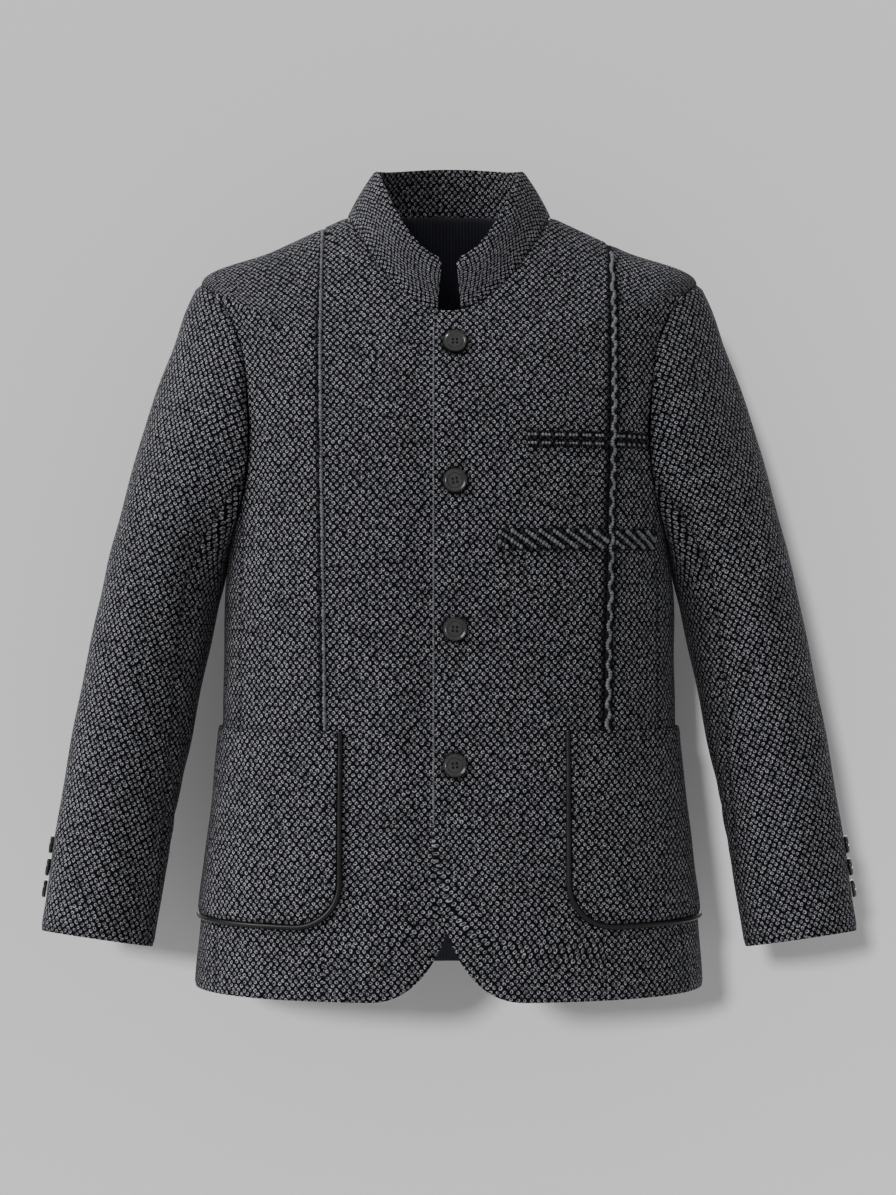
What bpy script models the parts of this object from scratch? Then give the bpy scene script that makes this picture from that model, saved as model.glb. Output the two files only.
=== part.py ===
# Single-breasted tweed jacket with a stand collar, filled out as it is worn.
# Metres, +Z up, fronts towards -Y, wearer's left towards +X.
# The origin lies midway between the two shoulder-neck points, where the shoulders carry it.
# Every torso panel is a wall cut from one garment surface, given by a ring angle and a height.
# The ring angle is 0 at the centre front, a quarter turn at the side and a half turn at the back.
import math

import bmesh
import bpy
import numpy as np
from mathutils import Vector

# Cloth and seams
CLOTH = 0.0025
COLLAR_CLOTH = 0.0030
LINING_CLOTH = 0.0010
SEAM_HALF_GAP = 0.00016
SLEEVE_GAP = 0.00038
LAID_ON_GAP = 0.0004
TRIM_GAP = 0.0008

# Rings of the garment, from the hem up to the neck seam.
# height is the way along the side from the hem: up the side to the shoulder tip, then along
# the shoulder to the neck. The z columns are where the ring crosses front, side and back.
RING_COLUMNS = ("height", "half_width", "z_front", "z_side", "z_back",
                "y_front", "y_side", "y_back", "squareness")
RINGS = (
    (0.0000, 0.2375, -0.7186, -0.7186, -0.7186, -0.137, 0.000, 0.134, 2.45),
    (0.0756, 0.2310, -0.6430, -0.6430, -0.6430, -0.133, 0.000, 0.130, 2.45),
    (0.1700, 0.2190, -0.5486, -0.5486, -0.5486, -0.126, 0.000, 0.123, 2.45),
    (0.2500, 0.2118, -0.4686, -0.4686, -0.4686, -0.121, 0.001, 0.118, 2.40),
    (0.3200, 0.2108, -0.3986, -0.3986, -0.3986, -0.120, 0.002, 0.119, 2.35),
    (0.3576, 0.2106, -0.3610, -0.3610, -0.3610, -0.121, 0.003, 0.121, 2.35),
    (0.4136, 0.2060, -0.3060, -0.3050, -0.3020, -0.123, 0.005, 0.123, 2.35),
    (0.5336, 0.2180, -0.2100, -0.1850, -0.2050, -0.120, 0.005, 0.121, 2.25),
    (0.6150, 0.2240, -0.1660, -0.1036, -0.1520, -0.114, 0.003, 0.117, 1.95),
    (0.6536, 0.2330, -0.1480, -0.0650, -0.1250, -0.109, 0.002, 0.112, 1.76),
    (0.7300, 0.1640, -0.1220, -0.0322, -0.0600, -0.099, 0.006, 0.095, 1.85),
    (0.8052, 0.0960, -0.0985, 0.0000, 0.0080, -0.090, 0.012, 0.070, 2.00),
)
SHOULDER_TIP = 0.6536
NECK_SEAM = 0.8052
ARC_SAMPLES = 721
ARC_MARGIN = 0.6

# Armhole, an oval round the side of the rings
ARMHOLE_LOW = 0.4136
ARMHOLE_STEPS = 12
ARMHOLE_FRONT_REACH = 0.60
ARMHOLE_BACK_REACH = 0.56
ARMHOLE_TOP_FULLNESS = 0.45
ARMHOLE_LOW_FULLNESS = 0.90
SIDE_SEAM_STEP = 3
SIDE_SEAM_FRONT = 0.49
SIDE_SEAM_BACK = 0.46
SIDE_SEAM_BEND = 0.24

# Front edges, cutaway corners and lengthwise seams
BODY_ROWS = 9
SHOULDER_ROWS = 4
EDGE_X = 0.0131
EDGE_MIDDLE_X = -0.0020
EDGE_TOP_X = 0.0086
CUTAWAY_WIDTH = 0.085
CUTAWAY_HEIGHT = 0.160
CUTAWAY_POWER = 2.3
CUTAWAY_COLUMNS = 6
CUTAWAY_FADE = 0.250
COLUMNS_PAST_CUTAWAY = 3
EDGE_TOP_RUN = 0.060
SEAM_BEND_START = 0.050
SIDE_FRONT_COLUMNS = 5
BRAID_SEAM_TOP_X = 0.1500
BRAID_SEAM_WAIST_X = 0.1405
CORD_SEAM_TOP_X = 0.1180
CORD_SEAM_WAIST_X = 0.1115
TUCK_DEPTH = CLOTH + 0.0006
TUCK_FULL_X = 0.0190
TUCK_END_X = 0.0480

# Back panel and its half lining
BACK_COLUMNS = 18
LINING_DROP = 0.0040
LINING_LOW_RISE = 0.020
LINING_GAP = 0.0008

# Stand collar
COLLAR_END_CLEAR = 0.0050
COLLAR_BULGE = 0.0012
COLLAR_TOP_HALF_WIDTH = 0.0690
COLLAR_TOP_FRONT = (-0.076, -0.0500)
COLLAR_TOP_SIDE = (0.000, 0.0430)
COLLAR_TOP_BACK = (0.061, 0.0520)
COLLAR_END_LOW_X = 0.0110
COLLAR_END_TOP_X = 0.0062
COLLAR_ROWS = (0.0, 0.3, 0.65, 1.0)

# Sleeves, measured down the outside: height of the middle, how far out, half sizes and depth
SLEEVE_COLUMNS = ("z", "x", "half_across", "half_deep", "y")
SLEEVE_RINGS = (
    (-0.3450, 0.2680, 0.0548, 0.0640, 0.000),
    (-0.3985, 0.2795, 0.0553, 0.0625, -0.002),
    (-0.4550, 0.2905, 0.0549, 0.0600, -0.006),
    (-0.5113, 0.3010, 0.0546, 0.0570, -0.012),
    (-0.5490, 0.3075, 0.0541, 0.0545, -0.017),
    (-0.5960, 0.3145, 0.0534, 0.0510, -0.023),
    (-0.6430, 0.3215, 0.0528, 0.0470, -0.029),
    (-0.6744, 0.3261, 0.0526, 0.0445, -0.033),
)
CAP_ROWS = (0.0, 0.14, 0.32, 0.54, 0.78)
CAP_LEAVE_WAY = (0.45, -0.20, -0.89)
CAP_LEAVE_SIDE_TURN = 0.30
CAP_LEAVE_PULL = (0.034, 0.260)
CAP_ARRIVE_PULL = (0.050, 0.280)
SLEEVE_TWIST = math.radians(40)
FRONT_SLEEVE_SEAM = 8
BACK_SLEEVE_SEAM = 21

# Patch pockets with a bound edge
POCKET_TOP = -0.4790
POCKET_BOTTOM = -0.6560
POCKET_FRONT_X = {"left": 0.1040, "right": 0.0950}
POCKET_BACK_ANGLE = math.pi / 2 + 0.34
POCKET_CORNER = 0.042
POCKET_COLUMNS = 9
POCKET_GAP = 0.0010
POCKET_ROWS = 4
CORNER_COLUMNS = 4
BINDING_WIDTH = 0.0050
BINDING_THICK = 0.0034
BINDING_JOINT = 0.0003

# Trim on the wearer's left front
BRAID_WIDTH = 0.0056
BRAID_THICK = 0.0016
BRAID_TOP_DROP = 0.0014
BRAID_POCKET_GAP = 0.0005
BRAID_SPLIT_CLEAR = 0.0004
BAND_THICK = 0.0010
BANDS = {
    "upper": (-0.2089, -0.2237, 0.0702),
    "lower": (-0.2963, -0.3160, 0.0427),
}
BAND_END_INSET = 0.0030
BAND_COLUMNS = {"inner": 5, "outer": 4}
BAND_RING_ANGLE = math.pi * 0.3

# Buttons
FRONT_BUTTON_X = 0.0052
FRONT_BUTTON_Z = (-0.1288, -0.2542, -0.3866, -0.5084)
FRONT_BUTTON_RADIUS = 0.0107
FRONT_BUTTON_THICK = 0.0040
CUFF_BUTTON_RADIUS = 0.0083
CUFF_BUTTON_THICK = 0.0034
CUFF_BUTTON_Z = (-0.5865, -0.6072, -0.6269)
CUFF_BUTTON_TURN = math.radians(3)
CUFF_BUTTON_SPREAD = 0.05
CUFF_BUTTON_DROP = 0.19
BUTTON_STEPS = 16

QUARTER = math.pi / 2
TURN = 2 * math.pi


def clear_scene():
    for thing in list(bpy.data.objects):
        bpy.data.objects.remove(thing, do_unlink=True)


def smoothstep(value, low, high):
    part = min(1.0, max(0.0, (value - low) / (high - low)))
    return part * part * (3 - 2 * part)


class Table:
    """Rows of named columns, read at any place by a smooth curve that doesn't overshoot."""

    def __init__(self, columns, rows, key):
        data = np.array(rows)
        order = np.argsort(data[:, columns.index(key)])
        data = data[order]
        self.place = data[:, columns.index(key)]
        self.columns = {name: data[:, i] for i, name in enumerate(columns)}
        self.slopes = {name: self.find_slopes(values) for name, values in self.columns.items()}

    def find_slopes(self, values):
        steps = np.diff(self.place)
        rises = np.diff(values) / steps
        slopes = np.zeros(len(values))
        slopes[0] = rises[0]
        slopes[-1] = rises[-1]
        for i in range(1, len(values) - 1):
            if rises[i - 1] * rises[i] > 0:
                near = 2 * steps[i] + steps[i - 1]
                far = steps[i] + 2 * steps[i - 1]
                slopes[i] = (near + far) / (near / rises[i - 1] + far / rises[i])
        return slopes

    def at(self, name, place):
        values = self.columns[name]
        slopes = self.slopes[name]
        i = int(np.clip(np.searchsorted(self.place, place) - 1, 0, len(values) - 2))
        step = self.place[i + 1] - self.place[i]
        t = min(1.0, max(0.0, (place - self.place[i]) / step))
        start = (1 + 2 * t) * (1 - t) ** 2 * values[i] + t * t * (3 - 2 * t) * values[i + 1]
        bend = t * (1 - t) ** 2 * slopes[i] - t * t * (1 - t) * slopes[i + 1]
        return float(start + bend * step)


RING_TABLE = Table(RING_COLUMNS, RINGS, "height")
SLEEVE_TABLE = Table(SLEEVE_COLUMNS, SLEEVE_RINGS, "z")
ring_cache = {}


def ring_sizes(height):
    key = round(height, 7)
    if key not in ring_cache:
        ring_cache[key] = {name: RING_TABLE.at(name, height) for name in RING_COLUMNS}
    return ring_cache[key]


def surface(angle, height):
    ring = ring_sizes(height)
    across = math.sin(angle)
    along = math.cos(angle)
    power = 2 / ring["squareness"]
    end_y = ring["y_front"] if along > 0 else ring["y_back"]
    end_z = ring["z_front"] if along > 0 else ring["z_back"]
    x = math.copysign(ring["half_width"] * abs(across) ** power, across)
    y = ring["y_side"] + (end_y - ring["y_side"]) * abs(along) ** power
    z = ring["z_side"] + (end_z - ring["z_side"]) * along * along
    return Vector((x, y, z))


def surface_normal(angle, height):
    turn = 0.004
    rise = 0.0008
    low = max(0.0, height - rise)
    high = min(NECK_SEAM, height + rise)
    around = surface(angle + turn, height) - surface(angle - turn, height)
    up = surface(angle, high) - surface(angle, low)
    return around.cross(up).normalized()


def arc_table(height):
    """Ring angles from just before the centre front to a full turn, and the way along them."""
    key = ("arc", round(height, 7))
    if key not in ring_cache:
        angles = np.linspace(-ARC_MARGIN, TURN + ARC_MARGIN, ARC_SAMPLES)
        points = np.array([surface(float(a), height) for a in angles])
        steps = np.linalg.norm(np.diff(points, axis=0), axis=1)
        ring_cache[key] = (angles, np.concatenate(([0.0], np.cumsum(steps))))
    return ring_cache[key]


def arc_at(angle, height):
    angles, arcs = arc_table(height)
    return float(np.interp(angle, angles, arcs))


def angle_at(arc, height):
    angles, arcs = arc_table(height)
    return float(np.interp(arc, arcs, angles))


def angle_at_x(x, height):
    ring = ring_sizes(height)
    part = min(1.0, abs(x) / ring["half_width"])
    return math.copysign(math.asin(part ** (ring["squareness"] / 2)), x)


def height_at_z(angle, z):
    """The height whose ring passes through z at this ring angle."""
    low = 0.0
    high = NECK_SEAM
    for _ in range(40):
        middle = (low + high) / 2
        if surface(angle, middle).z < z:
            low = middle
        else:
            high = middle
    return (low + high) / 2


def height_of_half_width(half_width):
    """The height on the shoulder where the ring is this wide."""
    low = SHOULDER_TIP
    high = NECK_SEAM
    for _ in range(40):
        middle = (low + high) / 2
        if ring_sizes(middle)["half_width"] > half_width:
            low = middle
        else:
            high = middle
    return (low + high) / 2


# Levels shared by every panel, so that seams meet point to point
SEAM_TOP_X = {"left": BRAID_SEAM_TOP_X, "right": CORD_SEAM_TOP_X}
SEAM_WAIST_X = {"left": BRAID_SEAM_WAIST_X, "right": CORD_SEAM_WAIST_X}
SEAM_TOP = {hand: height_of_half_width(x) for hand, x in SEAM_TOP_X.items()}


def armhole_height(step):
    middle = (ARMHOLE_LOW + SHOULDER_TIP) / 2
    half = (SHOULDER_TIP - ARMHOLE_LOW) / 2
    return middle - half * math.cos(math.pi * step / ARMHOLE_STEPS)


def armhole_reach(step):
    lift = math.sin(math.pi * step / ARMHOLE_STEPS)
    upper = step > ARMHOLE_STEPS / 2
    return max(0.0, lift) ** (ARMHOLE_TOP_FULLNESS if upper else ARMHOLE_LOW_FULLNESS)


ARMHOLE_LEVELS = [armhole_height(step) for step in range(ARMHOLE_STEPS + 1)]
BODY_LEVELS = [ARMHOLE_LOW * row / BODY_ROWS for row in range(BODY_ROWS)]
EVEN_SHOULDER = [SHOULDER_TIP + (NECK_SEAM - SHOULDER_TIP) * row / SHOULDER_ROWS
                 for row in range(1, SHOULDER_ROWS + 1)]
NEAR_LEVEL = 0.012
SHOULDER_LEVELS = sorted([level for level in EVEN_SHOULDER
                          if all(abs(level - top) > NEAR_LEVEL for top in SEAM_TOP.values())]
                         + list(SEAM_TOP.values()))
LEVELS = BODY_LEVELS + ARMHOLE_LEVELS + SHOULDER_LEVELS
SIDE_SEAM_TOP = ARMHOLE_LEVELS[SIDE_SEAM_STEP]


def side_angle(height, facing):
    """Where the front (facing -1) or back (facing 1) panels end at the side, and the margin."""
    reach = ARMHOLE_FRONT_REACH if facing < 0 else ARMHOLE_BACK_REACH
    low_reach = SIDE_SEAM_FRONT if facing < 0 else SIDE_SEAM_BACK
    if height <= SIDE_SEAM_TOP + 1e-9:
        top_reach = reach * armhole_reach(SIDE_SEAM_STEP)
        blend = smoothstep(height, SIDE_SEAM_BEND, SIDE_SEAM_TOP)
        margin = 0.0 if height > SIDE_SEAM_TOP - 1e-9 else SEAM_HALF_GAP
        return QUARTER + facing * (low_reach + (top_reach - low_reach) * blend), margin
    if height >= SHOULDER_TIP - 1e-9:
        return QUARTER, SEAM_HALF_GAP
    step = min(range(ARMHOLE_STEPS + 1), key=lambda i: abs(ARMHOLE_LEVELS[i] - height))
    return QUARTER + facing * reach * armhole_reach(step), 0.0


def seam_angle(height, hand):
    """The lengthwise seam of a front, from the hem to the shoulder."""
    if height >= SEAM_TOP[hand] - 1e-9:
        return QUARTER
    blend = smoothstep(height, SEAM_BEND_START, SEAM_TOP[hand])
    x = SEAM_WAIST_X[hand] + (SEAM_TOP_X[hand] - SEAM_WAIST_X[hand]) * blend
    return angle_at_x(x, height)


def front_edge_x(height):
    """How far a front reaches past the middle line, before its cutaway corner."""
    blend = smoothstep(height, NECK_SEAM - EDGE_TOP_RUN, NECK_SEAM)
    return EDGE_X + (EDGE_TOP_X - EDGE_X) * blend


def tuck(x):
    """How far the wearer's right front lies in, to pass under the left one."""
    return TUCK_DEPTH * smoothstep(x, -TUCK_END_X, -TUCK_FULL_X)


def mirrored(point, hand):
    return point if hand == "left" else Vector((-point.x, point.y, point.z))


# Materials, one for each sub-part
COLOURS = {
    "tweed": ((0.060, 0.062, 0.068), 0.95, 0.0),
    "lining": ((0.010, 0.010, 0.016), 0.55, 0.0),
    "binding": ((0.008, 0.008, 0.009), 0.50, 0.0),
    "trim": ((0.030, 0.031, 0.034), 0.90, 0.0),
    "horn": ((0.030, 0.030, 0.031), 0.32, 0.0),
}
jacket = bpy.data.collections.new("stand_collar_jacket")


def add_object(name, mesh, finish):
    colour, roughness, metallic = COLOURS[finish]
    material = bpy.data.materials.new(name + "_" + finish)
    material.use_nodes = True
    shader = material.node_tree.nodes["Principled BSDF"]
    shader.inputs["Base Color"].default_value = (*colour, 1.0)
    shader.inputs["Roughness"].default_value = roughness
    shader.inputs["Metallic"].default_value = metallic
    mesh.materials.append(material)
    made = bpy.data.objects.new(name, mesh)
    jacket.objects.link(made)
    return made


def add_wall(name, outer, inner, finish, closed=False):
    """A cloth wall between two grids of points, with its edges filled in."""
    rows = len(outer)
    columns = len(outer[0])
    build = bmesh.new()
    skins = []
    for grid in (outer, inner):
        skins.append([[build.verts.new(point) for point in row] for row in grid])
    spans = columns if closed else columns - 1
    for skin, flip in ((skins[0], False), (skins[1], True)):
        for row in range(rows - 1):
            for column in range(spans):
                after = (column + 1) % columns
                quad = [skin[row][column], skin[row][after],
                        skin[row + 1][after], skin[row + 1][column]]
                build.faces.new(quad[::-1] if flip else quad)
    rim = []
    for row, flip in ((0, True), (rows - 1, False)):
        for column in range(spans):
            after = (column + 1) % columns
            quad = [skins[0][row][column], skins[0][row][after],
                    skins[1][row][after], skins[1][row][column]]
            rim.append(quad[::-1] if flip else quad)
    if not closed:
        for column, flip in ((0, False), (columns - 1, True)):
            for row in range(rows - 1):
                quad = [skins[0][row][column], skins[0][row + 1][column],
                        skins[1][row + 1][column], skins[1][row][column]]
                rim.append(quad[::-1] if flip else quad)
    # Each edge face gets a point in its middle, so that two edges that meet bend alike
    rim_faces = [build.faces.new(quad) for quad in rim]
    bmesh.ops.poke(build, faces=rim_faces, center_mode="MEAN")
    bmesh.ops.remove_doubles(build, verts=build.verts, dist=1e-6)
    bmesh.ops.dissolve_degenerate(build, edges=build.edges, dist=1e-7)
    bmesh.ops.triangulate(build, faces=build.faces)
    bmesh.ops.recalc_face_normals(build, faces=build.faces)
    if build.calc_volume(signed=True) < 0:
        bmesh.ops.reverse_faces(build, faces=build.faces)
    mesh = bpy.data.meshes.new(name)
    build.to_mesh(mesh)
    build.free()
    mesh.shade_smooth()
    mesh.set_sharp_from_angle(angle=math.radians(40))
    return add_object(name, mesh, finish)


def rim_directions(first_normal, second_normal):
    """Ways in for two walls that meet: one shared way, or each its own at a tight fold."""
    share = smoothstep(first_normal.dot(second_normal), -0.3, 0.4)
    first = (first_normal + second_normal * share).normalized()
    second = (second_normal + first_normal * share).normalized()
    return first, second


def step_in(direction, normal, thickness):
    return direction * (-thickness / max(0.6, direction.dot(normal)))


# Sleeve rings. The ring angle is 0 outside, a quarter turn in front and a half turn inside.
RING_POINTS = 2 * ARMHOLE_STEPS


def armhole_place(index):
    """Ring angle and height of an armhole point, counted from the top towards the front."""
    front = index <= ARMHOLE_STEPS
    step = ARMHOLE_STEPS - index if front else index - ARMHOLE_STEPS
    facing = -1 if front else 1
    reach = ARMHOLE_FRONT_REACH if front else ARMHOLE_BACK_REACH
    return QUARTER + facing * reach * armhole_reach(step), ARMHOLE_LEVELS[step]


def sleeve_middle(z):
    return Vector((SLEEVE_TABLE.at("x", z), SLEEVE_TABLE.at("y", z), z))


def sleeve_axis(z):
    top = SLEEVE_RINGS[0][0]
    bottom = SLEEVE_RINGS[-1][0]
    ahead = sleeve_middle(max(bottom, z - 0.01))
    behind = sleeve_middle(min(top, z + 0.01))
    return (ahead - behind).normalized()


def sleeve_ring_point(z, turn):
    axis = sleeve_axis(z)
    outwards = Vector((0, 1, 0)).cross(axis).normalized()
    outwards = outwards if outwards.x > 0 else -outwards
    forwards = outwards.cross(axis).normalized()
    forwards = forwards if forwards.y < 0 else -forwards
    across = outwards * SLEEVE_TABLE.at("half_across", z) * math.cos(turn)
    deep = forwards * SLEEVE_TABLE.at("half_deep", z) * math.sin(turn)
    return sleeve_middle(z) + across + deep


def pull(ends, turn):
    """Strength of the sleeve cap's bend, from the underarm (first) to the shoulder (second)."""
    low, high = ends
    return low + (high - low) * (1 + math.cos(turn)) / 2


def cap_start(turn):
    """Way and strength with which the sleeve leaves the armhole."""
    out, forward, down = CAP_LEAVE_WAY
    side_turn = CAP_LEAVE_SIDE_TURN * math.sin(turn) ** 2
    way = Vector((out + side_turn, forward * math.sin(turn), down + side_turn))
    return way.normalized() * pull(CAP_LEAVE_PULL, turn)


def cap_point(index, part):
    """Sleeve cap between the armhole (part 0) and the first full ring (part 1)."""
    turn = TURN * index / RING_POINTS
    start = surface(*armhole_place(index)) + Vector((SLEEVE_GAP, 0, 0))
    top_z = SLEEVE_RINGS[0][0]
    end = sleeve_ring_point(top_z, turn)
    leave = cap_start(turn)
    arrive = sleeve_axis(top_z) * pull(CAP_ARRIVE_PULL, turn)
    left = 1 - part
    return (start * (1 + 2 * part) * left * left + leave * part * left * left
            + end * part * part * (3 - 2 * part) - arrive * part * part * left)


def sleeve_grid():
    rows = []
    for part in CAP_ROWS:
        rows.append([cap_point(index, part) for index in range(RING_POINTS)])
    top_z = SLEEVE_RINGS[0][0]
    length = top_z - SLEEVE_RINGS[-1][0]
    for ring in SLEEVE_RINGS:
        twist = SLEEVE_TWIST * smoothstep(top_z - ring[0], 0.0, length * 0.9)
        rows.append([sleeve_ring_point(ring[0], TURN * index / RING_POINTS + twist)
                     for index in range(RING_POINTS)])
    return rows


def closed_normals(rows):
    """Outward directions on a tube of rings that runs downwards."""
    normals = []
    last = len(rows) - 1
    for i, row in enumerate(rows):
        line = []
        for j in range(len(row)):
            down = rows[min(last, i + 1)][j] - rows[max(0, i - 1)][j]
            around = row[(j + 1) % len(row)] - row[j - 1]
            line.append(around.cross(down).normalized())
        normals.append(line)
    return normals


def side_offset(grid, row, index, after, amount):
    way = (grid[row][after % RING_POINTS] - grid[row][index % RING_POINTS]).normalized()
    return way * amount


SLEEVE_OUTER = sleeve_grid()
SLEEVE_NORMALS = closed_normals(SLEEVE_OUTER)
ARMHOLE_NORMALS = [surface_normal(*armhole_place(index)) for index in range(RING_POINTS)]


def sleeve_inner(row, index):
    normal = SLEEVE_NORMALS[row][index]
    if row > 0:
        return SLEEVE_OUTER[row][index] - normal * CLOTH
    _, way = rim_directions(ARMHOLE_NORMALS[index], normal)
    return SLEEVE_OUTER[row][index] + step_in(way, normal, CLOTH)


def make_sleeve(hand):
    pieces = {
        "upper_sleeve": range(BACK_SLEEVE_SEAM, FRONT_SLEEVE_SEAM + RING_POINTS + 1),
        "under_sleeve": range(FRONT_SLEEVE_SEAM, BACK_SLEEVE_SEAM + 1),
    }
    for name, span in pieces.items():
        outer = []
        inner = []
        for row in range(len(SLEEVE_OUTER)):
            outer_row = []
            inner_row = []
            for index in span:
                shift = Vector((0, 0, 0))
                if index == span[0]:
                    shift = side_offset(SLEEVE_OUTER, row, index, index + 1, SEAM_HALF_GAP)
                if index == span[-1]:
                    shift = side_offset(SLEEVE_OUTER, row, index, index - 1, SEAM_HALF_GAP)
                place = index % RING_POINTS
                outer_row.append(mirrored(SLEEVE_OUTER[row][place] + shift, hand))
                inner_row.append(mirrored(sleeve_inner(row, place) + shift, hand))
            outer.append(outer_row)
            inner.append(inner_row)
        add_wall(name + "_" + hand, outer, inner, "tweed")


def armhole_index(angle, height):
    """The armhole point at this place of the surface, or None."""
    for index in range(RING_POINTS):
        place = armhole_place(index)
        if abs(place[0] - angle) < 1e-6 and abs(place[1] - height) < 1e-6:
            return index
    return None


def panel_inner(point, angle, height):
    """Inside of the cloth below a surface point; at the armhole and neck its edge is mitred."""
    normal = surface_normal(angle, height)
    fold = angle if angle <= math.pi else TURN - angle
    index = armhole_index(fold, height)
    if index is not None:
        other = SLEEVE_NORMALS[0][index]
        if angle > math.pi:
            other = mirrored(other, "right")
        way, _ = rim_directions(normal, other)
        return point + step_in(way, normal, CLOTH)
    if height > NECK_SEAM - 1e-9:
        way, _ = rim_directions(normal, collar_normal(angle))
        return point + step_in(way, normal, CLOTH)
    return point - normal * CLOTH


def panel_points(places, hand, tucked=False):
    """Outer and inner points for rows of (ring angle, height) places."""
    outer = []
    inner = []
    for row in places:
        outer_row = []
        inner_row = []
        for angle, height in row:
            point = surface(angle, height)
            back = panel_inner(point, angle, height)
            if tucked:
                shift = surface_normal(angle, height) * -tuck(-point.x)
                point = point + shift
                back = back + shift
            outer_row.append(mirrored(point, hand))
            inner_row.append(mirrored(back, hand))
        outer.append(outer_row)
        inner.append(inner_row)
    return outer, inner


def front_columns(hand):
    """Each column of a front: the way along from its edge at the hem, and where its hem lies."""
    lead = -1 if hand == "left" else 1
    edge = EDGE_MIDDLE_X * -lead - EDGE_X
    start = arc_at(angle_at_x(edge, 0.0), 0.0)
    end = arc_at(seam_angle(0.0, hand), 0.0)
    columns = []
    for i in range(CUTAWAY_COLUMNS + 1):
        turn = QUARTER * i / CUTAWAY_COLUMNS
        way = CUTAWAY_WIDTH * (1 - max(0.0, math.cos(turn)) ** (2 / CUTAWAY_POWER))
        rise = CUTAWAY_HEIGHT * (1 - math.sin(turn) ** (2 / CUTAWAY_POWER))
        columns.append((way / (end - start), rise))
    reached = columns[-1][0]
    for i in range(1, COLUMNS_PAST_CUTAWAY + 1):
        columns.append((reached + (1 - reached) * i / COLUMNS_PAST_CUTAWAY, 0.0))
    return columns


def front_places(hand):
    columns = front_columns(hand)
    lead = -1 if hand == "left" else 1
    places = []
    for level in LEVELS:
        row = []
        for share, rise in columns:
            height = level
            if level < CUTAWAY_FADE:
                height = rise + level * (CUTAWAY_FADE - rise) / CUTAWAY_FADE
            edge = EDGE_MIDDLE_X * -lead - front_edge_x(height)
            start = arc_at(angle_at_x(edge, height), height)
            end = arc_at(seam_angle(height, hand), height) - SEAM_HALF_GAP
            row.append((angle_at(start + (end - start) * share, height), height))
        places.append(row)
    return places


def make_fronts():
    for hand in ("left", "right"):
        outer, inner = panel_points(front_places(hand), hand, tucked=hand == "right")
        add_wall("front_" + hand, outer, inner, "tweed")


def make_side_fronts():
    columns = SIDE_FRONT_COLUMNS
    for hand in ("left", "right"):
        places = []
        for level in LEVELS:
            if level > SEAM_TOP[hand] + 1e-9:
                break
            end_angle, margin = side_angle(level, -1)
            if level > SEAM_TOP[hand] - 1e-9:
                places.append([(QUARTER, level)] * (columns + 1))
                continue
            start = arc_at(seam_angle(level, hand), level) + SEAM_HALF_GAP
            end = arc_at(end_angle, level) - margin
            row = [(angle_at(start + (end - start) * i / columns, level), level)
                   for i in range(columns)]
            last = (end_angle if margin == 0.0 else angle_at(end, level), level)
            places.append(row + [last])
        tip = places[-1][0][1] - SEAM_HALF_GAP * 2
        apex = (angle_at(arc_at(QUARTER, tip) - SEAM_HALF_GAP, tip), tip)
        places[-1] = [apex] * (columns + 1)
        outer, inner = panel_points(places, hand)
        add_wall("side_front_" + hand, outer, inner, "tweed")


def side_panel_top():
    """Armhole points along the top of the side panel, from the front seam to the back seam."""
    first = ARMHOLE_STEPS - SIDE_SEAM_STEP
    return [armhole_place(index) for index in range(first, ARMHOLE_STEPS + SIDE_SEAM_STEP + 1)]


def make_side_panels():
    tops = side_panel_top()
    last = len(tops) - 1
    levels = [level for level in LEVELS if level <= SIDE_SEAM_TOP + 1e-9]
    places = []
    for level in levels:
        part = level / SIDE_SEAM_TOP
        row = []
        for i, (top_angle, top_height) in enumerate(tops):
            height = part * top_height
            if part > 1 - 1e-9:
                row.append((top_angle, top_height))
                continue
            start = arc_at(side_angle(height, -1)[0], height) + SEAM_HALF_GAP
            end = arc_at(side_angle(height, 1)[0], height) - SEAM_HALF_GAP
            top_start = arc_at(side_angle(top_height, -1)[0], top_height)
            top_end = arc_at(side_angle(top_height, 1)[0], top_height)
            top_share = (arc_at(top_angle, top_height) - top_start) / (top_end - top_start)
            share = i / last + (top_share - i / last) * part
            row.append((angle_at(start + (end - start) * share, height), height))
        places.append(row)
    for hand in ("left", "right"):
        outer, inner = panel_points(places, hand)
        for end, beside in ((0, 1), (last, last - 1)):
            shift = (outer[-1][beside] - outer[-1][end]).normalized() * 2 * SEAM_HALF_GAP
            outer[-1][end] = outer[-1][end] + shift
            inner[-1][end] = inner[-1][end] + shift
        add_wall("side_panel_" + hand, outer, inner, "tweed")


def back_places(columns, levels):
    places = []
    for level in levels:
        start_angle, margin = side_angle(level, 1)
        start = arc_at(start_angle, level) + margin
        end = arc_at(TURN - start_angle, level) - margin
        row = [(angle_at(start + (end - start) * i / columns, level), level)
               for i in range(columns + 1)]
        if margin == 0.0:
            row[0] = (start_angle, level)
            row[-1] = (TURN - start_angle, level)
        places.append(row)
    return places


def make_back():
    outer, inner = panel_points(back_places(BACK_COLUMNS, LEVELS), "left")
    add_wall("back", outer, inner, "tweed")


def make_back_lining():
    """Half lining under the shoulders, which shows through the neck."""
    levels = [level for level in LEVELS if level > ARMHOLE_LOW + LINING_LOW_RISE]
    levels[-1] = NECK_SEAM - LINING_DROP
    every_second = levels[::-2][::-1]
    outer = []
    inner = []
    for whole_row in back_places(BACK_COLUMNS, every_second):
        row = whole_row[1:-1:2]
        lifted = CLOTH + LINING_GAP
        outer.append([surface(*place) - surface_normal(*place) * lifted for place in row])
        inner.append([surface(*place) - surface_normal(*place) * (lifted + LINING_CLOTH)
                      for place in row])
    add_wall("back_lining", outer, inner, "lining")


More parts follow.
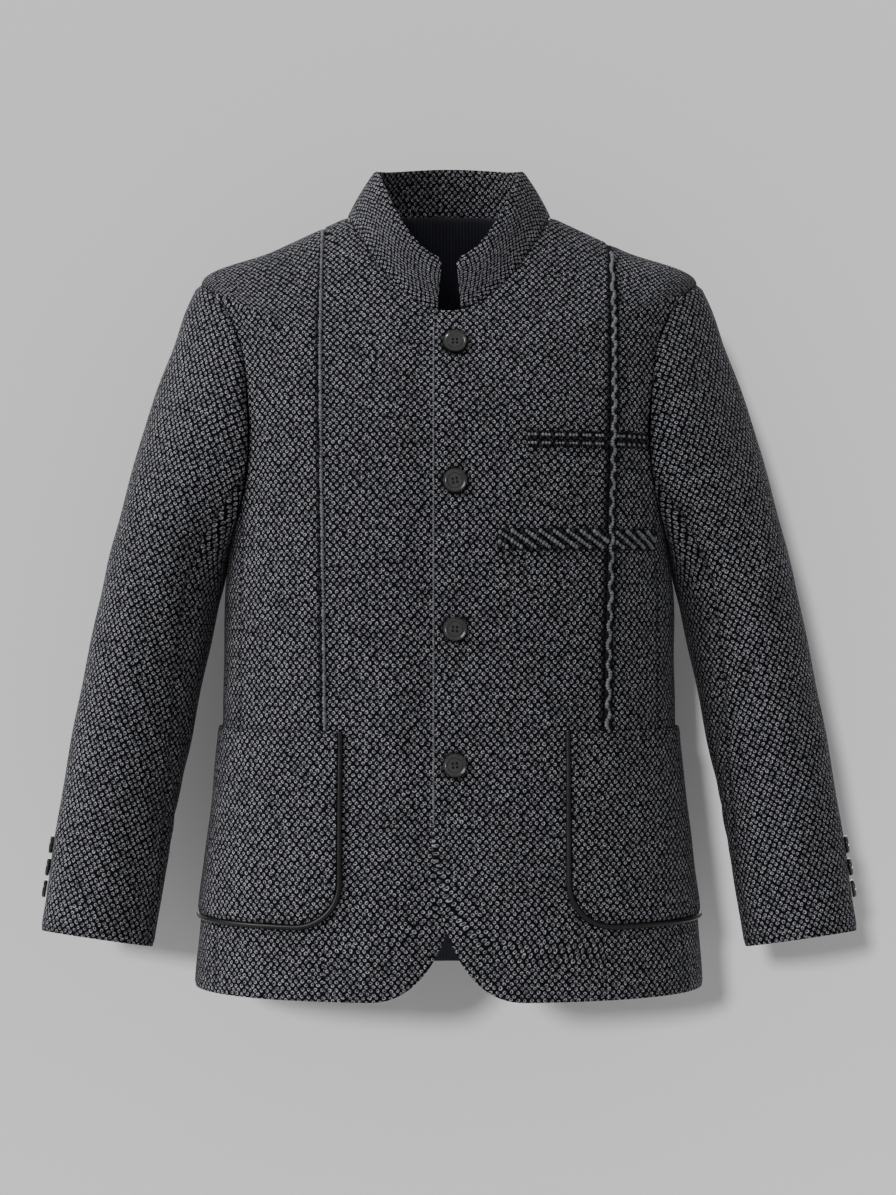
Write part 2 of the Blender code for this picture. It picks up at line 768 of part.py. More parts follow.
def collar_top_point(angle):
    across = math.sin(angle)
    along = math.cos(angle)
    end_y, end_z = COLLAR_TOP_FRONT if along > 0 else COLLAR_TOP_BACK
    side_y, side_z = COLLAR_TOP_SIDE
    return Vector((COLLAR_TOP_HALF_WIDTH * across, side_y + (end_y - side_y) * abs(along),
                   side_z + (end_z - side_z) * along * along))


def collar_normal(angle):
    """Outward direction of the collar just above the neck seam."""
    around = surface(angle + 0.01, NECK_SEAM) - surface(angle - 0.01, NECK_SEAM)
    up = collar_top_point(angle) - surface(angle, NECK_SEAM)
    return around.cross(up).normalized()


def collar_feet():
    """Ring angles of the collar's columns: its ends, and the points of the panels below it."""
    end = angle_at_x(COLLAR_END_LOW_X, NECK_SEAM)
    clear = angle_at_x(COLLAR_END_LOW_X + COLLAR_END_CLEAR, NECK_SEAM)
    sides = {}
    for hand in ("left", "right"):
        neck_row = front_places(hand)[-1]
        sides[hand] = [angle for angle, _ in neck_row[:-1] if angle > clear]
    back_row = back_places(BACK_COLUMNS, LEVELS)[-1]
    back = [QUARTER] + [angle for angle, _ in back_row[1:-1]] + [TURN - QUARTER]
    right = [TURN - angle for angle in reversed(sides["right"])]
    return [end] + sides["left"] + back + right + [TURN - end]


def collar_top_angle(foot_angle):
    foot_end = angle_at_x(COLLAR_END_LOW_X, NECK_SEAM)
    top_end = math.asin(COLLAR_END_TOP_X / COLLAR_TOP_HALF_WIDTH)
    return top_end + (TURN - 2 * top_end) * (foot_angle - foot_end) / (TURN - 2 * foot_end)


def tucked_neck_point(angle):
    point = surface(angle, NECK_SEAM)
    if angle > TURN - QUARTER:
        point = point - surface_normal(angle, NECK_SEAM) * tuck(point.x)
    return point


def neck_row_point(hand):
    """Where the collar's end stands on the straight run between two points of the front."""
    angles = [angle for angle, _ in front_places(hand)[-1]]
    if hand == "right":
        angles = [TURN - angle for angle in angles]
    points = [tucked_neck_point(angle) for angle in angles]
    for before, after in zip(points, points[1:]):
        low, high = sorted((abs(before.x), abs(after.x)))
        if before.x * after.x >= 0 and low <= COLLAR_END_LOW_X <= high:
            part = (COLLAR_END_LOW_X - abs(before.x)) / (abs(after.x) - abs(before.x))
            return before.lerp(after, part)
    return tucked_neck_point(angles[0])


def make_collar():
    feet = collar_feet()
    outer = []
    inner = []
    for part in COLLAR_ROWS:
        outer_row = []
        inner_row = []
        for foot_angle in feet:
            foot = tucked_neck_point(foot_angle)
            if foot_angle in (feet[0], feet[-1]):
                foot = neck_row_point("left" if foot_angle < math.pi else "right")
            top = collar_top_point(collar_top_angle(foot_angle))
            way = (top - foot).normalized()
            normal = collar_normal(foot_angle)
            foot = foot + way * SLEEVE_GAP
            point = foot + (top - foot) * part + normal * COLLAR_BULGE * math.sin(math.pi * part)
            outer_row.append(point)
            if part == 0.0:
                _, rim = rim_directions(surface_normal(foot_angle, NECK_SEAM), normal)
                inner_row.append(point + step_in(rim, normal, COLLAR_CLOTH))
            else:
                inner_row.append(point - normal * COLLAR_CLOTH)
        outer.append(outer_row)
        inner.append(inner_row)
    add_wall("collar", outer, inner, "tweed")


def lifted_point(angle, height, lift):
    return surface(angle, height) + surface_normal(angle, height) * lift


def pocket_place(hand, across, up):
    """Ring angle and height of a pocket point: across and up run from 0 to 1."""
    z = POCKET_BOTTOM + (POCKET_TOP - POCKET_BOTTOM) * up
    height = height_at_z(QUARTER, z)
    start = arc_at(angle_at_x(POCKET_FRONT_X[hand], height), height)
    end = arc_at(POCKET_BACK_ANGLE, height)
    return angle_at(start + (end - start) * across, height), height


def pocket_size(hand):
    height = height_at_z(QUARTER, (POCKET_TOP + POCKET_BOTTOM) / 2)
    start = arc_at(angle_at_x(POCKET_FRONT_X[hand], height), height)
    return arc_at(POCKET_BACK_ANGLE, height) - start, POCKET_TOP - POCKET_BOTTOM


def pocket_outline(hand, inset):
    """Pocket edge from the front top corner, round the bottom, to the back top corner."""
    wide, tall = pocket_size(hand)
    corner = POCKET_CORNER - inset
    low = inset
    points = [(inset, tall), (inset, (tall + POCKET_CORNER) / 2)]
    for i in range(CORNER_COLUMNS + 1):
        turn = QUARTER * i / CORNER_COLUMNS
        points.append((POCKET_CORNER - corner * math.cos(turn),
                       POCKET_CORNER - corner * math.sin(turn)))
    reach = wide - 2 * POCKET_CORNER
    for i in range(1, POCKET_COLUMNS):
        points.append((POCKET_CORNER + reach * i / POCKET_COLUMNS, low))
    for across, up in points[1 + CORNER_COLUMNS + 1::-1]:
        points.append((wide - across, up))
    return [(across / wide, up / tall) for across, up in points]


def make_pockets():
    for hand in ("left", "right"):
        low_edge = pocket_outline(hand, BINDING_WIDTH + BINDING_JOINT)[2:-2]
        outer = []
        inner = []
        for row in range(POCKET_ROWS + 1):
            part = row / POCKET_ROWS
            outer_row = []
            inner_row = []
            for across, up in low_edge:
                place = pocket_place(hand, across, up + (1 - up) * part)
                outer_row.append(mirrored(lifted_point(*place, POCKET_GAP + CLOTH), hand))
                inner_row.append(mirrored(lifted_point(*place, POCKET_GAP), hand))
            outer.append(outer_row)
            inner.append(inner_row)
        add_wall("pocket_" + hand, outer, inner, "tweed")
        edge = [pocket_place(hand, *point) for point in pocket_outline(hand, 0.0)]
        inside = [pocket_place(hand, *point) for point in pocket_outline(hand, BINDING_WIDTH)]
        section = ((0.0, 0.0), (0.0, 0.75), (0.5, 1.0), (1.0, 0.75), (1.0, 0.0))
        add_strip("pocket_piping_" + hand, edge, inside, section, BINDING_THICK, "binding", hand,
                  POCKET_GAP)


def add_strip(name, first, second, section, thick, finish, hand, lift=LAID_ON_GAP):
    """A solid strip between two lines of places on the surface, with a domed section."""
    build = bmesh.new()
    loops = []
    for near, far in zip(first, second):
        loop = []
        for across, up in section:
            place = (near[0] + (far[0] - near[0]) * across, near[1] + (far[1] - near[1]) * across)
            loop.append(build.verts.new(mirrored(lifted_point(*place, lift + thick * up), hand)))
        loops.append(loop)
    count = len(section)
    for before, after in zip(loops, loops[1:]):
        for i in range(count):
            j = (i + 1) % count
            build.faces.new([before[i], before[j], after[j], after[i]])
    build.faces.new(loops[0])
    build.faces.new(loops[-1][::-1])
    bmesh.ops.triangulate(build, faces=build.faces)
    bmesh.ops.recalc_face_normals(build, faces=build.faces)
    if build.calc_volume(signed=True) < 0:
        bmesh.ops.reverse_faces(build, faces=build.faces)
    mesh = bpy.data.meshes.new(name)
    build.to_mesh(mesh)
    build.free()
    mesh.shade_smooth()
    mesh.set_sharp_from_angle(angle=math.radians(40))
    return add_object(name, mesh, finish)


def make_braid():
    """Braid down the wearer's left seam, from the shoulder to the pocket."""
    top = SEAM_TOP["left"] - BRAID_TOP_DROP
    bottom = height_at_z(seam_angle(SIDE_SEAM_BEND, "left"), POCKET_TOP + BRAID_POCKET_GAP)
    between = [level for level in LEVELS if bottom + NEAR_LEVEL < level < top - NEAR_LEVEL]
    heights = [bottom] + between + [top]
    edges = []
    for side in (-1, 1):
        line = []
        for height in heights:
            arc = arc_at(seam_angle(height, "left"), height) + side * BRAID_WIDTH / 2
            line.append((angle_at(arc, height), height))
        edges.append(line)
    section = ((0.0, 0.0), (0.0, 1.0), (0.5, 1.0), (1.0, 1.0), (1.0, 0.0), (0.5, 0.0))
    add_strip("braid_strip", edges[0], edges[1], section, BRAID_THICK, "trim", "left", TRIM_GAP)


def make_chest_bands():
    """Two woven bands across the wearer's left chest, parted where the braid crosses."""
    clear = BRAID_WIDTH / 2 + BRAID_SPLIT_CLEAR
    for name, (top_z, low_z, start_x) in BANDS.items():
        spans = {"inner": [], "outer": []}
        for z in (low_z, (low_z + top_z) / 2, top_z):
            height = height_at_z(BAND_RING_ANGLE, z)
            seam = arc_at(seam_angle(height, "left"), height)
            start = arc_at(angle_at_x(start_x, height), height)
            end = arc_at(armhole_front_angle(height), height) - BAND_END_INSET
            spans["inner"].append((start, seam - clear, z))
            spans["outer"].append((seam + clear, end, z))
        for part, lines in spans.items():
            columns = BAND_COLUMNS[part]
            outer = []
            inner = []
            for start, end, z in lines:
                outer_row = []
                inner_row = []
                guess = height_at_z(BAND_RING_ANGLE, z)
                for i in range(columns + 1):
                    angle = angle_at(start + (end - start) * i / columns, guess)
                    place = (angle, height_at_z(angle, z))
                    outer_row.append(lifted_point(*place, TRIM_GAP + BAND_THICK))
                    inner_row.append(lifted_point(*place, TRIM_GAP))
                outer.append(outer_row)
                inner.append(inner_row)
            add_wall("chest_band_" + name + "_" + part, outer, inner, "trim")


def armhole_front_angle(height):
    """Ring angle of the armhole's front edge, or of the side seam below it."""
    if height < SIDE_SEAM_TOP:
        return side_angle(height, -1)[0]
    angles = [QUARTER - ARMHOLE_FRONT_REACH * armhole_reach(step)
              for step in range(ARMHOLE_STEPS + 1)]
    return float(np.interp(height, ARMHOLE_LEVELS, angles))


def add_button(name, centre, normal, radius, thick):
    """A turned button with a raised rim; the profile runs from its face down to its back."""
    profile = ((0.0, 0.72), (0.70, 0.72), (0.80, 1.0), (0.92, 1.0), (1.0, 0.72),
               (1.0, 0.30), (0.84, 0.0), (0.0, 0.0))
    mesh = bpy.data.meshes.new(name)
    points = [(radius * r, 0.0, thick * up) for r, up in profile]
    mesh.from_pydata(points, [(i, i + 1) for i in range(len(points) - 1)], [])
    made = add_object(name, mesh, "horn")
    turn = made.modifiers.new("turned", "SCREW")
    turn.steps = BUTTON_STEPS
    turn.render_steps = BUTTON_STEPS
    turn.use_merge_vertices = True
    turn.merge_threshold = 0.00001
    turn.use_smooth_shade = True
    made.rotation_mode = "QUATERNION"
    made.rotation_quaternion = normal.to_track_quat("Z", "Y")
    made.location = centre
    return made


def make_front_buttons():
    for number, z in enumerate(FRONT_BUTTON_Z, start=1):
        height = height_at_z(0.0, z)
        angle = angle_at_x(FRONT_BUTTON_X, height)
        height = height_at_z(angle, z)
        normal = surface_normal(angle, height)
        centre = surface(angle, height) + normal * LAID_ON_GAP
        add_button("front_button_" + str(number), centre, normal, FRONT_BUTTON_RADIUS,
                   FRONT_BUTTON_THICK)


def make_cuff_buttons():
    for hand in ("left", "right"):
        for number, z in enumerate(CUFF_BUTTON_Z, start=1):
            low = z - SLEEVE_TABLE.at("half_across", z) * CUFF_BUTTON_DROP
            point = sleeve_ring_point(low, CUFF_BUTTON_TURN)
            ahead = sleeve_ring_point(low, CUFF_BUTTON_TURN + CUFF_BUTTON_SPREAD)
            behind = sleeve_ring_point(low, CUFF_BUTTON_TURN - CUFF_BUTTON_SPREAD)
            normal = (ahead - behind).cross(sleeve_axis(z)).normalized()
            normal = normal if normal.x > 0 else -normal
            centre = mirrored(point + normal * LAID_ON_GAP, hand)
            way = mirrored(normal, hand)
            name = "cuff_button_" + hand + "_" + str(number)
            add_button(name, centre, way, CUFF_BUTTON_RADIUS, CUFF_BUTTON_THICK)


def main():
    clear_scene()
    bpy.context.scene.collection.children.link(jacket)
    make_fronts()
    make_side_fronts()
    make_side_panels()
    make_back()
    make_back_lining()
    make_collar()
    for hand in ("left", "right"):
        make_sleeve(hand)
    make_pockets()
    make_braid()
    make_chest_bands()
    make_front_buttons()
    make_cuff_buttons()


main()
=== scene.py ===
# %% [markdown]
# # A tweed jacket with a stand collar
# This lesson dresses the solid model of a jacket: cloth panels, collar, sleeves, patch pockets,
# yarn trim and buttons. The solids are loaded first and are never moved. Each one is then covered
# by a finer piece with the same name, made from the same cutting rules.

# %% Load the solid model
import math

import bmesh
import bpy
import numpy as np
from mathutils import Matrix, Vector


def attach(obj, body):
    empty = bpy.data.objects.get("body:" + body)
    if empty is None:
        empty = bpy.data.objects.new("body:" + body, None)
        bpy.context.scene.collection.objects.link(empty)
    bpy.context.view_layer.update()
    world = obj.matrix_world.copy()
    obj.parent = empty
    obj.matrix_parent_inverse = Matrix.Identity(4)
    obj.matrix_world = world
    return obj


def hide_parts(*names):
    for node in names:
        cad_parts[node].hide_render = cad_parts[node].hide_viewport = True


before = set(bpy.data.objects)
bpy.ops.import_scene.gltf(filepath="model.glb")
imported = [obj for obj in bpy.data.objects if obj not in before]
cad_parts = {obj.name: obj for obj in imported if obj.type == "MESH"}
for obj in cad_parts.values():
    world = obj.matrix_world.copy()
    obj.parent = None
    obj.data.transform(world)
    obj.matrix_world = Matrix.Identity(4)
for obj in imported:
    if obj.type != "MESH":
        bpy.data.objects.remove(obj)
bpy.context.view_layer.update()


def add_object(name, data):
    """An object in the scene for a mesh, a camera or a light."""
    made = bpy.data.objects.new(name, data)
    bpy.context.scene.collection.objects.link(made)
    return made


# %% [markdown]
# ## Camera and light
# The jacket is seen straight on, from chest height and 2.4 m away, so its hem shows a little of its
# inner back. The camera comes first, because every later choice is judged through it. The lights
# are set at the end: an even sky, a sun for the wall and its soft shadow, a wide window at the left
# and a small lamp in front for the cloth, one at the right for the buttons' rims, and a weak one
# behind, which passes the wall, for the side that the picture doesn't show.

# %% Camera
IMAGE_WIDTH = 896
IMAGE_HEIGHT = 1195
VIEW_DISTANCE = 2.40
VIEW_HEIGHT = -0.3586
VIEW_SIDE = -0.001
FOCAL_PIXELS = 2553.9
SENSOR_MM = 24.0

camera_data = bpy.data.cameras.new("straight_view")
camera_data.sensor_fit = "VERTICAL"
camera_data.sensor_height = SENSOR_MM
camera_data.lens = SENSOR_MM * FOCAL_PIXELS / IMAGE_HEIGHT
camera = add_object("straight_view", camera_data)
camera.location = (VIEW_SIDE, -VIEW_DISTANCE, VIEW_HEIGHT)
camera.rotation_euler = (math.pi / 2, 0, 0)
bpy.context.scene.camera = camera
print("lens", round(camera_data.lens, 1), "mm for a picture", IMAGE_WIDTH, "by", IMAGE_HEIGHT)

# %% [markdown]
# ## Colours and the node helper
# Cloth colours are written as the hex values that a painter would pick on screen. Blender works
# with linear light, so one function turns them. A second one adds a shader node with its settings
# and links, which keeps each material's recipe short enough to read as a list of steps.

# %% Colour and node helpers


def linear(code):
    """An sRGB hex colour as linear light."""
    parts = [int(code[i:i + 2], 16) / 255 for i in (1, 3, 5)]
    return tuple(p / 12.92 if p <= 0.04045 else ((p + 0.055) / 1.055) ** 2.4 for p in parts) + (1.0,)


def new_material(name):
    material = bpy.data.materials.new(name)
    material.use_nodes = True
    material.node_tree.nodes.clear()
    return material, material.node_tree


def add_node(tree, kind, inputs=None, **settings):
    """Adds a node; an input is a number, a vector, another node's output or the node itself."""
    node = tree.nodes.new(kind)
    for name, value in settings.items():
        setattr(node, name, value)
    for name, value in (inputs or {}).items():
        if isinstance(value, bpy.types.Node):
            value = value.outputs[0]
        if isinstance(value, bpy.types.NodeSocket):
            tree.links.new(value, node.inputs[name])
        else:
            node.inputs[name].default_value = value
    return node


def finish_material(tree, shader):
    add_node(tree, "ShaderNodeOutputMaterial", {"Surface": shader})


def finish_surface(tree, factor, low, high, bump, settings):
    """A principled surface between two hex colours; bump is (height, strength, distance)."""
    colour = add_node(tree, "ShaderNodeMix", {"Factor": factor, 6: linear(low), 7: linear(high)},
                      data_type="RGBA")
    inputs = dict(settings, **{"Base Color": colour.outputs[2]})
    if bump:
        raised = add_node(tree, "ShaderNodeBump",
                          {"Height": bump[0], "Strength": bump[1], "Distance": bump[2]})
        inputs["Normal"] = raised
    finish_material(tree, add_node(tree, "ShaderNodeBsdfPrincipled", inputs))


# %% [markdown]
# ## Tweed
# The cloth is a coarse wool tweed: rings of grey yarn on a near-black ground, set in a diagonal
# lattice of 6.1 by 6.9 mm, with dark lines between the rows. It could be painted as a picture, but
# a formula stays sharp and follows each panel's own grain. The map of each panel is in metres of
# cloth; the formula turns it into lattice cells, measures how far a point is from the middle of its
# ring, dims one side of the ring where the loop dips under, and varies its brightness, as spun yarn
# does. The same rings raise the surface.

# %% Tweed material
RING_ACROSS_MM = 6.13
RING_UP_MM = 6.94
RING_REACH_MM = 3.2
RING_SHIFT_MM = 0.9
# Way out from the ring's middle, as a share of its reach, and the height of the yarn there
RING_STOPS = ((0.0, 0.0), (0.14, 0.05), (0.31, 1.0), (0.42, 1.0), (0.54, 0.18), (0.62, 0.0))


def lattice_nodes(tree):
    """Place from the ring's middle in mm, random colour of each ring, and the map in mm."""
    cloth = add_node(tree, "ShaderNodeUVMap", uv_map="cloth")
    in_mm = add_node(tree, "ShaderNodeVectorMath",
                     {0: cloth.outputs["UV"], "Scale": 1000.0}, operation="SCALE")
    wobble = add_node(tree, "ShaderNodeTexNoise",
                      {"Vector": in_mm, "Scale": 0.16, "Detail": 2.0})
    centred = add_node(tree, "ShaderNodeVectorMath",
                       {0: wobble.outputs["Color"], 1: (0.5, 0.5, 0.5)}, operation="SUBTRACT")
    shifted = add_node(tree, "ShaderNodeVectorMath",
                       {0: centred, 1: (3.0, 3.0, 0.0), 2: in_mm},
                       operation="MULTIPLY_ADD")
    apart = add_node(tree, "ShaderNodeSeparateXYZ", {0: shifted})
    across = add_node(tree, "ShaderNodeMath", {0: apart.outputs["X"], 1: RING_ACROSS_MM},
                      operation="DIVIDE")
    up = add_node(tree, "ShaderNodeMath", {0: apart.outputs["Y"], 1: RING_UP_MM},
                  operation="DIVIDE")
    rising = add_node(tree, "ShaderNodeMath", {0: up, 1: across})
    falling = add_node(tree, "ShaderNodeMath", {0: up, 1: across},
                       operation="SUBTRACT")
    cell = add_node(tree, "ShaderNodeCombineXYZ", {"X": rising, "Y": falling})
    whole = add_node(tree, "ShaderNodeVectorMath", {0: cell}, operation="FLOOR")
    part = add_node(tree, "ShaderNodeVectorMath", {0: cell}, operation="FRACTION")
    middle = add_node(tree, "ShaderNodeVectorMath", {0: part, 1: (0.5, 0.5, 0.0)},
                      operation="SUBTRACT")
    parts = add_node(tree, "ShaderNodeSeparateXYZ", {0: middle})
    wide = add_node(tree, "ShaderNodeMath", {0: parts.outputs["X"], 1: parts.outputs["Y"]},
                    operation="SUBTRACT")
    tall = add_node(tree, "ShaderNodeMath", {0: parts.outputs["X"], 1: parts.outputs["Y"]})
    offset = add_node(tree, "ShaderNodeCombineXYZ", {"X": wide, "Y": tall})
    real = add_node(tree, "ShaderNodeVectorMath",
                    {0: offset, 1: (RING_ACROSS_MM / 2, RING_UP_MM / 2, 0.0)},
                    operation="MULTIPLY")
    chance = add_node(tree, "ShaderNodeTexWhiteNoise", {"Vector": whole},
                      noise_dimensions="2D")
    loose = add_node(tree, "ShaderNodeVectorMath",
                     {0: chance.outputs["Color"], 1: (0.5, 0.5, 0.5)}, operation="SUBTRACT")
    from_middle = add_node(tree, "ShaderNodeVectorMath",
                           {0: loose, 1: (RING_SHIFT_MM, RING_SHIFT_MM, 0.0),
                            2: real}, operation="MULTIPLY_ADD")
    return from_middle, chance.outputs["Color"], in_mm


def broken_ring(tree, place, chance):
    """Dims one side of each ring, at a random place round it, as a loop that dips under."""
    parts = add_node(tree, "ShaderNodeSeparateXYZ", {0: place})
    drawn = add_node(tree, "ShaderNodeSeparateXYZ", {0: chance})
    angle = add_node(tree, "ShaderNodeMath", {0: parts.outputs["Y"], 1: parts.outputs["X"]},
                     operation="ARCTAN2")
    turned = add_node(tree, "ShaderNodeMath",
                      {0: drawn.outputs["Z"], 1: 2 * math.pi, 2: angle},
                      operation="MULTIPLY_ADD")
    wave = add_node(tree, "ShaderNodeMath", {0: turned}, operation="COSINE")
    shown = add_node(tree, "ShaderNodeMapRange",
                     {"Value": wave, "From Min": -1.0, "From Max": 0.2,
                      "To Min": 0.30, "To Max": 1.0})
    bright = add_node(tree, "ShaderNodeMapRange",
                      {"Value": drawn.outputs["X"], "To Min": 0.50, "To Max": 1.0})
    both = add_node(tree, "ShaderNodeMath", {0: shown, 1: bright},
                    operation="MULTIPLY")
    return both


def ramp_node(tree, value, stops):
    """A ramp whose stops are (place, grey level)."""
    node = add_node(tree, "ShaderNodeValToRGB", {"Fac": value})
    node.color_ramp.interpolation = "EASE"
    while len(node.color_ramp.elements) < len(stops):
        node.color_ramp.elements.new(0.5)
    for element, (place, level) in zip(node.color_ramp.elements, stops):
        element.position = place
        element.color = (level, level, level, 1.0)
    return node.outputs["Color"]


def tweed_material(name, ground, yarn, bright):
    """Wool tweed: dull, slightly fuzzy at its edges, with raised rings of yarn."""
    material, tree = new_material(name)
    place, chance, in_mm = lattice_nodes(tree)
    distance = add_node(tree, "ShaderNodeVectorMath", {0: place}, operation="LENGTH")
    share = add_node(tree, "ShaderNodeMath", {0: distance.outputs["Value"], 1: RING_REACH_MM},
                     operation="DIVIDE")
    ring = ramp_node(tree, share, RING_STOPS)
    spun = broken_ring(tree, place, chance)
    fibres = add_node(tree, "ShaderNodeTexNoise", {"Vector": in_mm, "Scale": 0.75, "Detail": 3.0,
                                                   "Roughness": 0.65})
    fuzz = add_node(tree, "ShaderNodeMapRange",
                    {"Value": fibres.outputs["Fac"], "From Min": 0.3, "From Max": 0.7,
                     "To Min": 0.25, "To Max": 1.75})
    mottle = add_node(tree, "ShaderNodeTexNoise", {"Vector": in_mm, "Scale": 0.035, "Detail": 2.0})
    patch = add_node(tree, "ShaderNodeMapRange",
                     {"Value": mottle.outputs["Fac"], "From Min": 0.3, "From Max": 0.7,
                      "To Min": 0.88, "To Max": 1.10})
    lit = add_node(tree, "ShaderNodeMath", {0: ring, 1: spun}, operation="MULTIPLY")
    rough = add_node(tree, "ShaderNodeMath", {0: lit, 1: fuzz},
                     operation="MULTIPLY")
    worn = add_node(tree, "ShaderNodeMath", {0: rough, 1: patch},
                    operation="MULTIPLY")
    # Painted shade: each point's seam value darkens the weave along seams and edges, and round the
    # front buttons
    line = add_node(tree, "ShaderNodeAttribute", attribute_name="painted_seam_shade")
    unshaded_share = add_node(tree, "ShaderNodeMath", {0: 1.0, 1: line.outputs["Fac"]},
                         operation="SUBTRACT")
    shaded = add_node(tree, "ShaderNodeMath", {0: worn, 1: unshaded_share},
                      operation="MULTIPLY")
    level = add_node(tree, "ShaderNodeMath", {0: shaded, 1: bright},
                     operation="MULTIPLY", use_clamp=True)
    finish_surface(tree, level, ground, yarn, (rough, 0.75, 0.0007),
                   {"Roughness": 0.95, "Specular IOR Level": 0.08,
                    "Sheen Weight": 0.04, "Sheen Roughness": 0.45})
    return material


WOOL_TWEED = tweed_material("wool_tweed", "#0f0f12", "#c5c5ce", 1.0)
DARK_GROUND = tweed_material("dark_woven_ground", "#0d0d0f", "#66666c", 0.8)
print("tweed rings every", RING_ACROSS_MM, "by", RING_UP_MM, "mm")

# %% [markdown]
# ## Lining, binding, yarn and horn
# The lining is a navy-black twill with fine stripes down its length, and it shines a little along
# the stripes. The pockets' piping is satin, smoother than wool. The yarn of the trim is wool again,
# lighter than the tweed and with its twist drawn across it. The buttons are polyester made to look
# like horn: dark, with slow clouds in it and a soft polish.

# %% Other materials
STRIPE_MM = 3.2


def lining_material():
    material, tree = new_material("striped_lining_twill")
    cloth = add_node(tree, "ShaderNodeUVMap", uv_map="cloth")
    in_mm = add_node(tree, "ShaderNodeVectorMath", {0: cloth.outputs["UV"], "Scale": 1000.0},
                     operation="SCALE")
    apart = add_node(tree, "ShaderNodeSeparateXYZ", {0: in_mm})
    turns = add_node(tree, "ShaderNodeMath", {0: apart.outputs["X"], 1: 2 * math.pi / STRIPE_MM},
                     operation="MULTIPLY")
    wave = add_node(tree, "ShaderNodeMath", {0: turns}, operation="SINE")
    stripe = add_node(tree, "ShaderNodeMapRange", {"Value": wave, "From Min": 0.55,
                                                   "From Max": 0.95})
    finish_surface(tree, stripe, "#2a2a34", "#3c3c49", (wave, 0.3, 0.0001),
                   {"Roughness": 0.55, "Specular IOR Level": 0.3})
    return material


def satin_material():
    material, tree = new_material("black_satin_binding")
    place = add_node(tree, "ShaderNodeTexCoord")
    threads = add_node(tree, "ShaderNodeTexNoise",
                       {"Vector": place.outputs["Object"], "Scale": 900.0, "Detail": 2.0})
    height = threads.outputs["Fac"]
    finish_surface(tree, height, "#0b0b0d", "#1b1b1e", (height, 0.3, 0.0002),
                   {"Roughness": 0.42, "Specular IOR Level": 0.45})
    return material


def yarn_material(name, dark, light):
    """Loosely spun wool yarn: soft grey, mottled at the size of its fibres."""
    material, tree = new_material(name)
    place = add_node(tree, "ShaderNodeTexCoord")
    fibres = add_node(tree, "ShaderNodeTexNoise",
                      {"Vector": place.outputs["Object"], "Scale": 700.0, "Detail": 3.0,
                       "Roughness": 0.7})
    spread = add_node(tree, "ShaderNodeMapRange",
                      {"Value": fibres.outputs["Fac"], "From Min": 0.32, "From Max": 0.68})
    finish_surface(tree, spread, dark, light, (fibres.outputs["Fac"], 0.8, 0.0004),
                   {"Roughness": 0.9, "Specular IOR Level": 0.25})
    return material


def horn_material():
    material, tree = new_material("dark_horn_polyester")
    place = add_node(tree, "ShaderNodeTexCoord")
    clouds = add_node(tree, "ShaderNodeTexNoise",
                      {"Vector": place.outputs["Object"], "Scale": 140.0, "Detail": 3.0,
                       "Distortion": 0.6})
    shine = add_node(tree, "ShaderNodeMapRange",
                     {"Value": clouds.outputs["Fac"], "To Min": 0.20, "To Max": 0.32})
    finish_surface(tree, clouds.outputs["Fac"], "#1e1e1f", "#353536", None,
                   {"Roughness": shine, "IOR": 1.53,
                    "Coat Weight": 0.50, "Coat Roughness": 0.10})
    return material


LINING = lining_material()
SATIN = satin_material()
TRIM_YARN = yarn_material("light_trim_yarn", "#424348", "#9c9da3")
EDGE_YARN = yarn_material("edge_yarn", "#3c3c41", "#96979d")
CHANNEL = yarn_material("dark_channel_wool", "#0c0d0e", "#222326")
BUTTON_THREAD = yarn_material("button_thread", "#161617", "#2c2c2e")
HORN = horn_material()
print("materials", len(bpy.data.materials))

# %% [markdown]
# ## The garment surface
# Every torso panel is cut from one surface. A ring of the garment is given by a height along the
# side, and a place on it by the ring angle: 0 at the centre front, a quarter turn at the side.
# These are the sizes and formulas of the solids, here in a form that takes many points at once.

# %% Rings and their curves
RING_COLUMNS = ("height", "half_width", "z_front", "z_side", "z_back",
                "y_front", "y_side", "y_back", "squareness")
RINGS = (
    (0.0000, 0.2375, -0.7186, -0.7186, -0.7186, -0.137, 0.000, 0.134, 2.45),
    (0.0756, 0.2310, -0.6430, -0.6430, -0.6430, -0.133, 0.000, 0.130, 2.45),
    (0.1700, 0.2190, -0.5486, -0.5486, -0.5486, -0.126, 0.000, 0.123, 2.45),
    (0.2500, 0.2118, -0.4686, -0.4686, -0.4686, -0.121, 0.001, 0.118, 2.40),
    (0.3200, 0.2108, -0.3986, -0.3986, -0.3986, -0.120, 0.002, 0.119, 2.35),
    (0.3576, 0.2106, -0.3610, -0.3610, -0.3610, -0.121, 0.003, 0.121, 2.35),
    (0.4136, 0.2060, -0.3060, -0.3050, -0.3020, -0.123, 0.005, 0.123, 2.35),
    (0.5336, 0.2180, -0.2100, -0.1850, -0.2050, -0.120, 0.005, 0.121, 2.25),
    (0.6150, 0.2240, -0.1660, -0.1036, -0.1520, -0.114, 0.003, 0.117, 1.95),
    (0.6536, 0.2330, -0.1480, -0.0650, -0.1250, -0.109, 0.002, 0.112, 1.76),
    (0.7300, 0.1640, -0.1220, -0.0322, -0.0600, -0.099, 0.006, 0.095, 1.85),
    (0.8052, 0.0960, -0.0985, 0.0000, 0.0080, -0.090, 0.012, 0.070, 2.00),
)
SHOULDER_TIP = 0.6536
NECK_SEAM = 0.8052
QUARTER = math.pi / 2
TURN = 2 * math.pi


def smoothstep(value, low, high):
    part = np.clip((np.asarray(value, float) - low) / (high - low), 0.0, 1.0)
    return part * part * (3 - 2 * part)


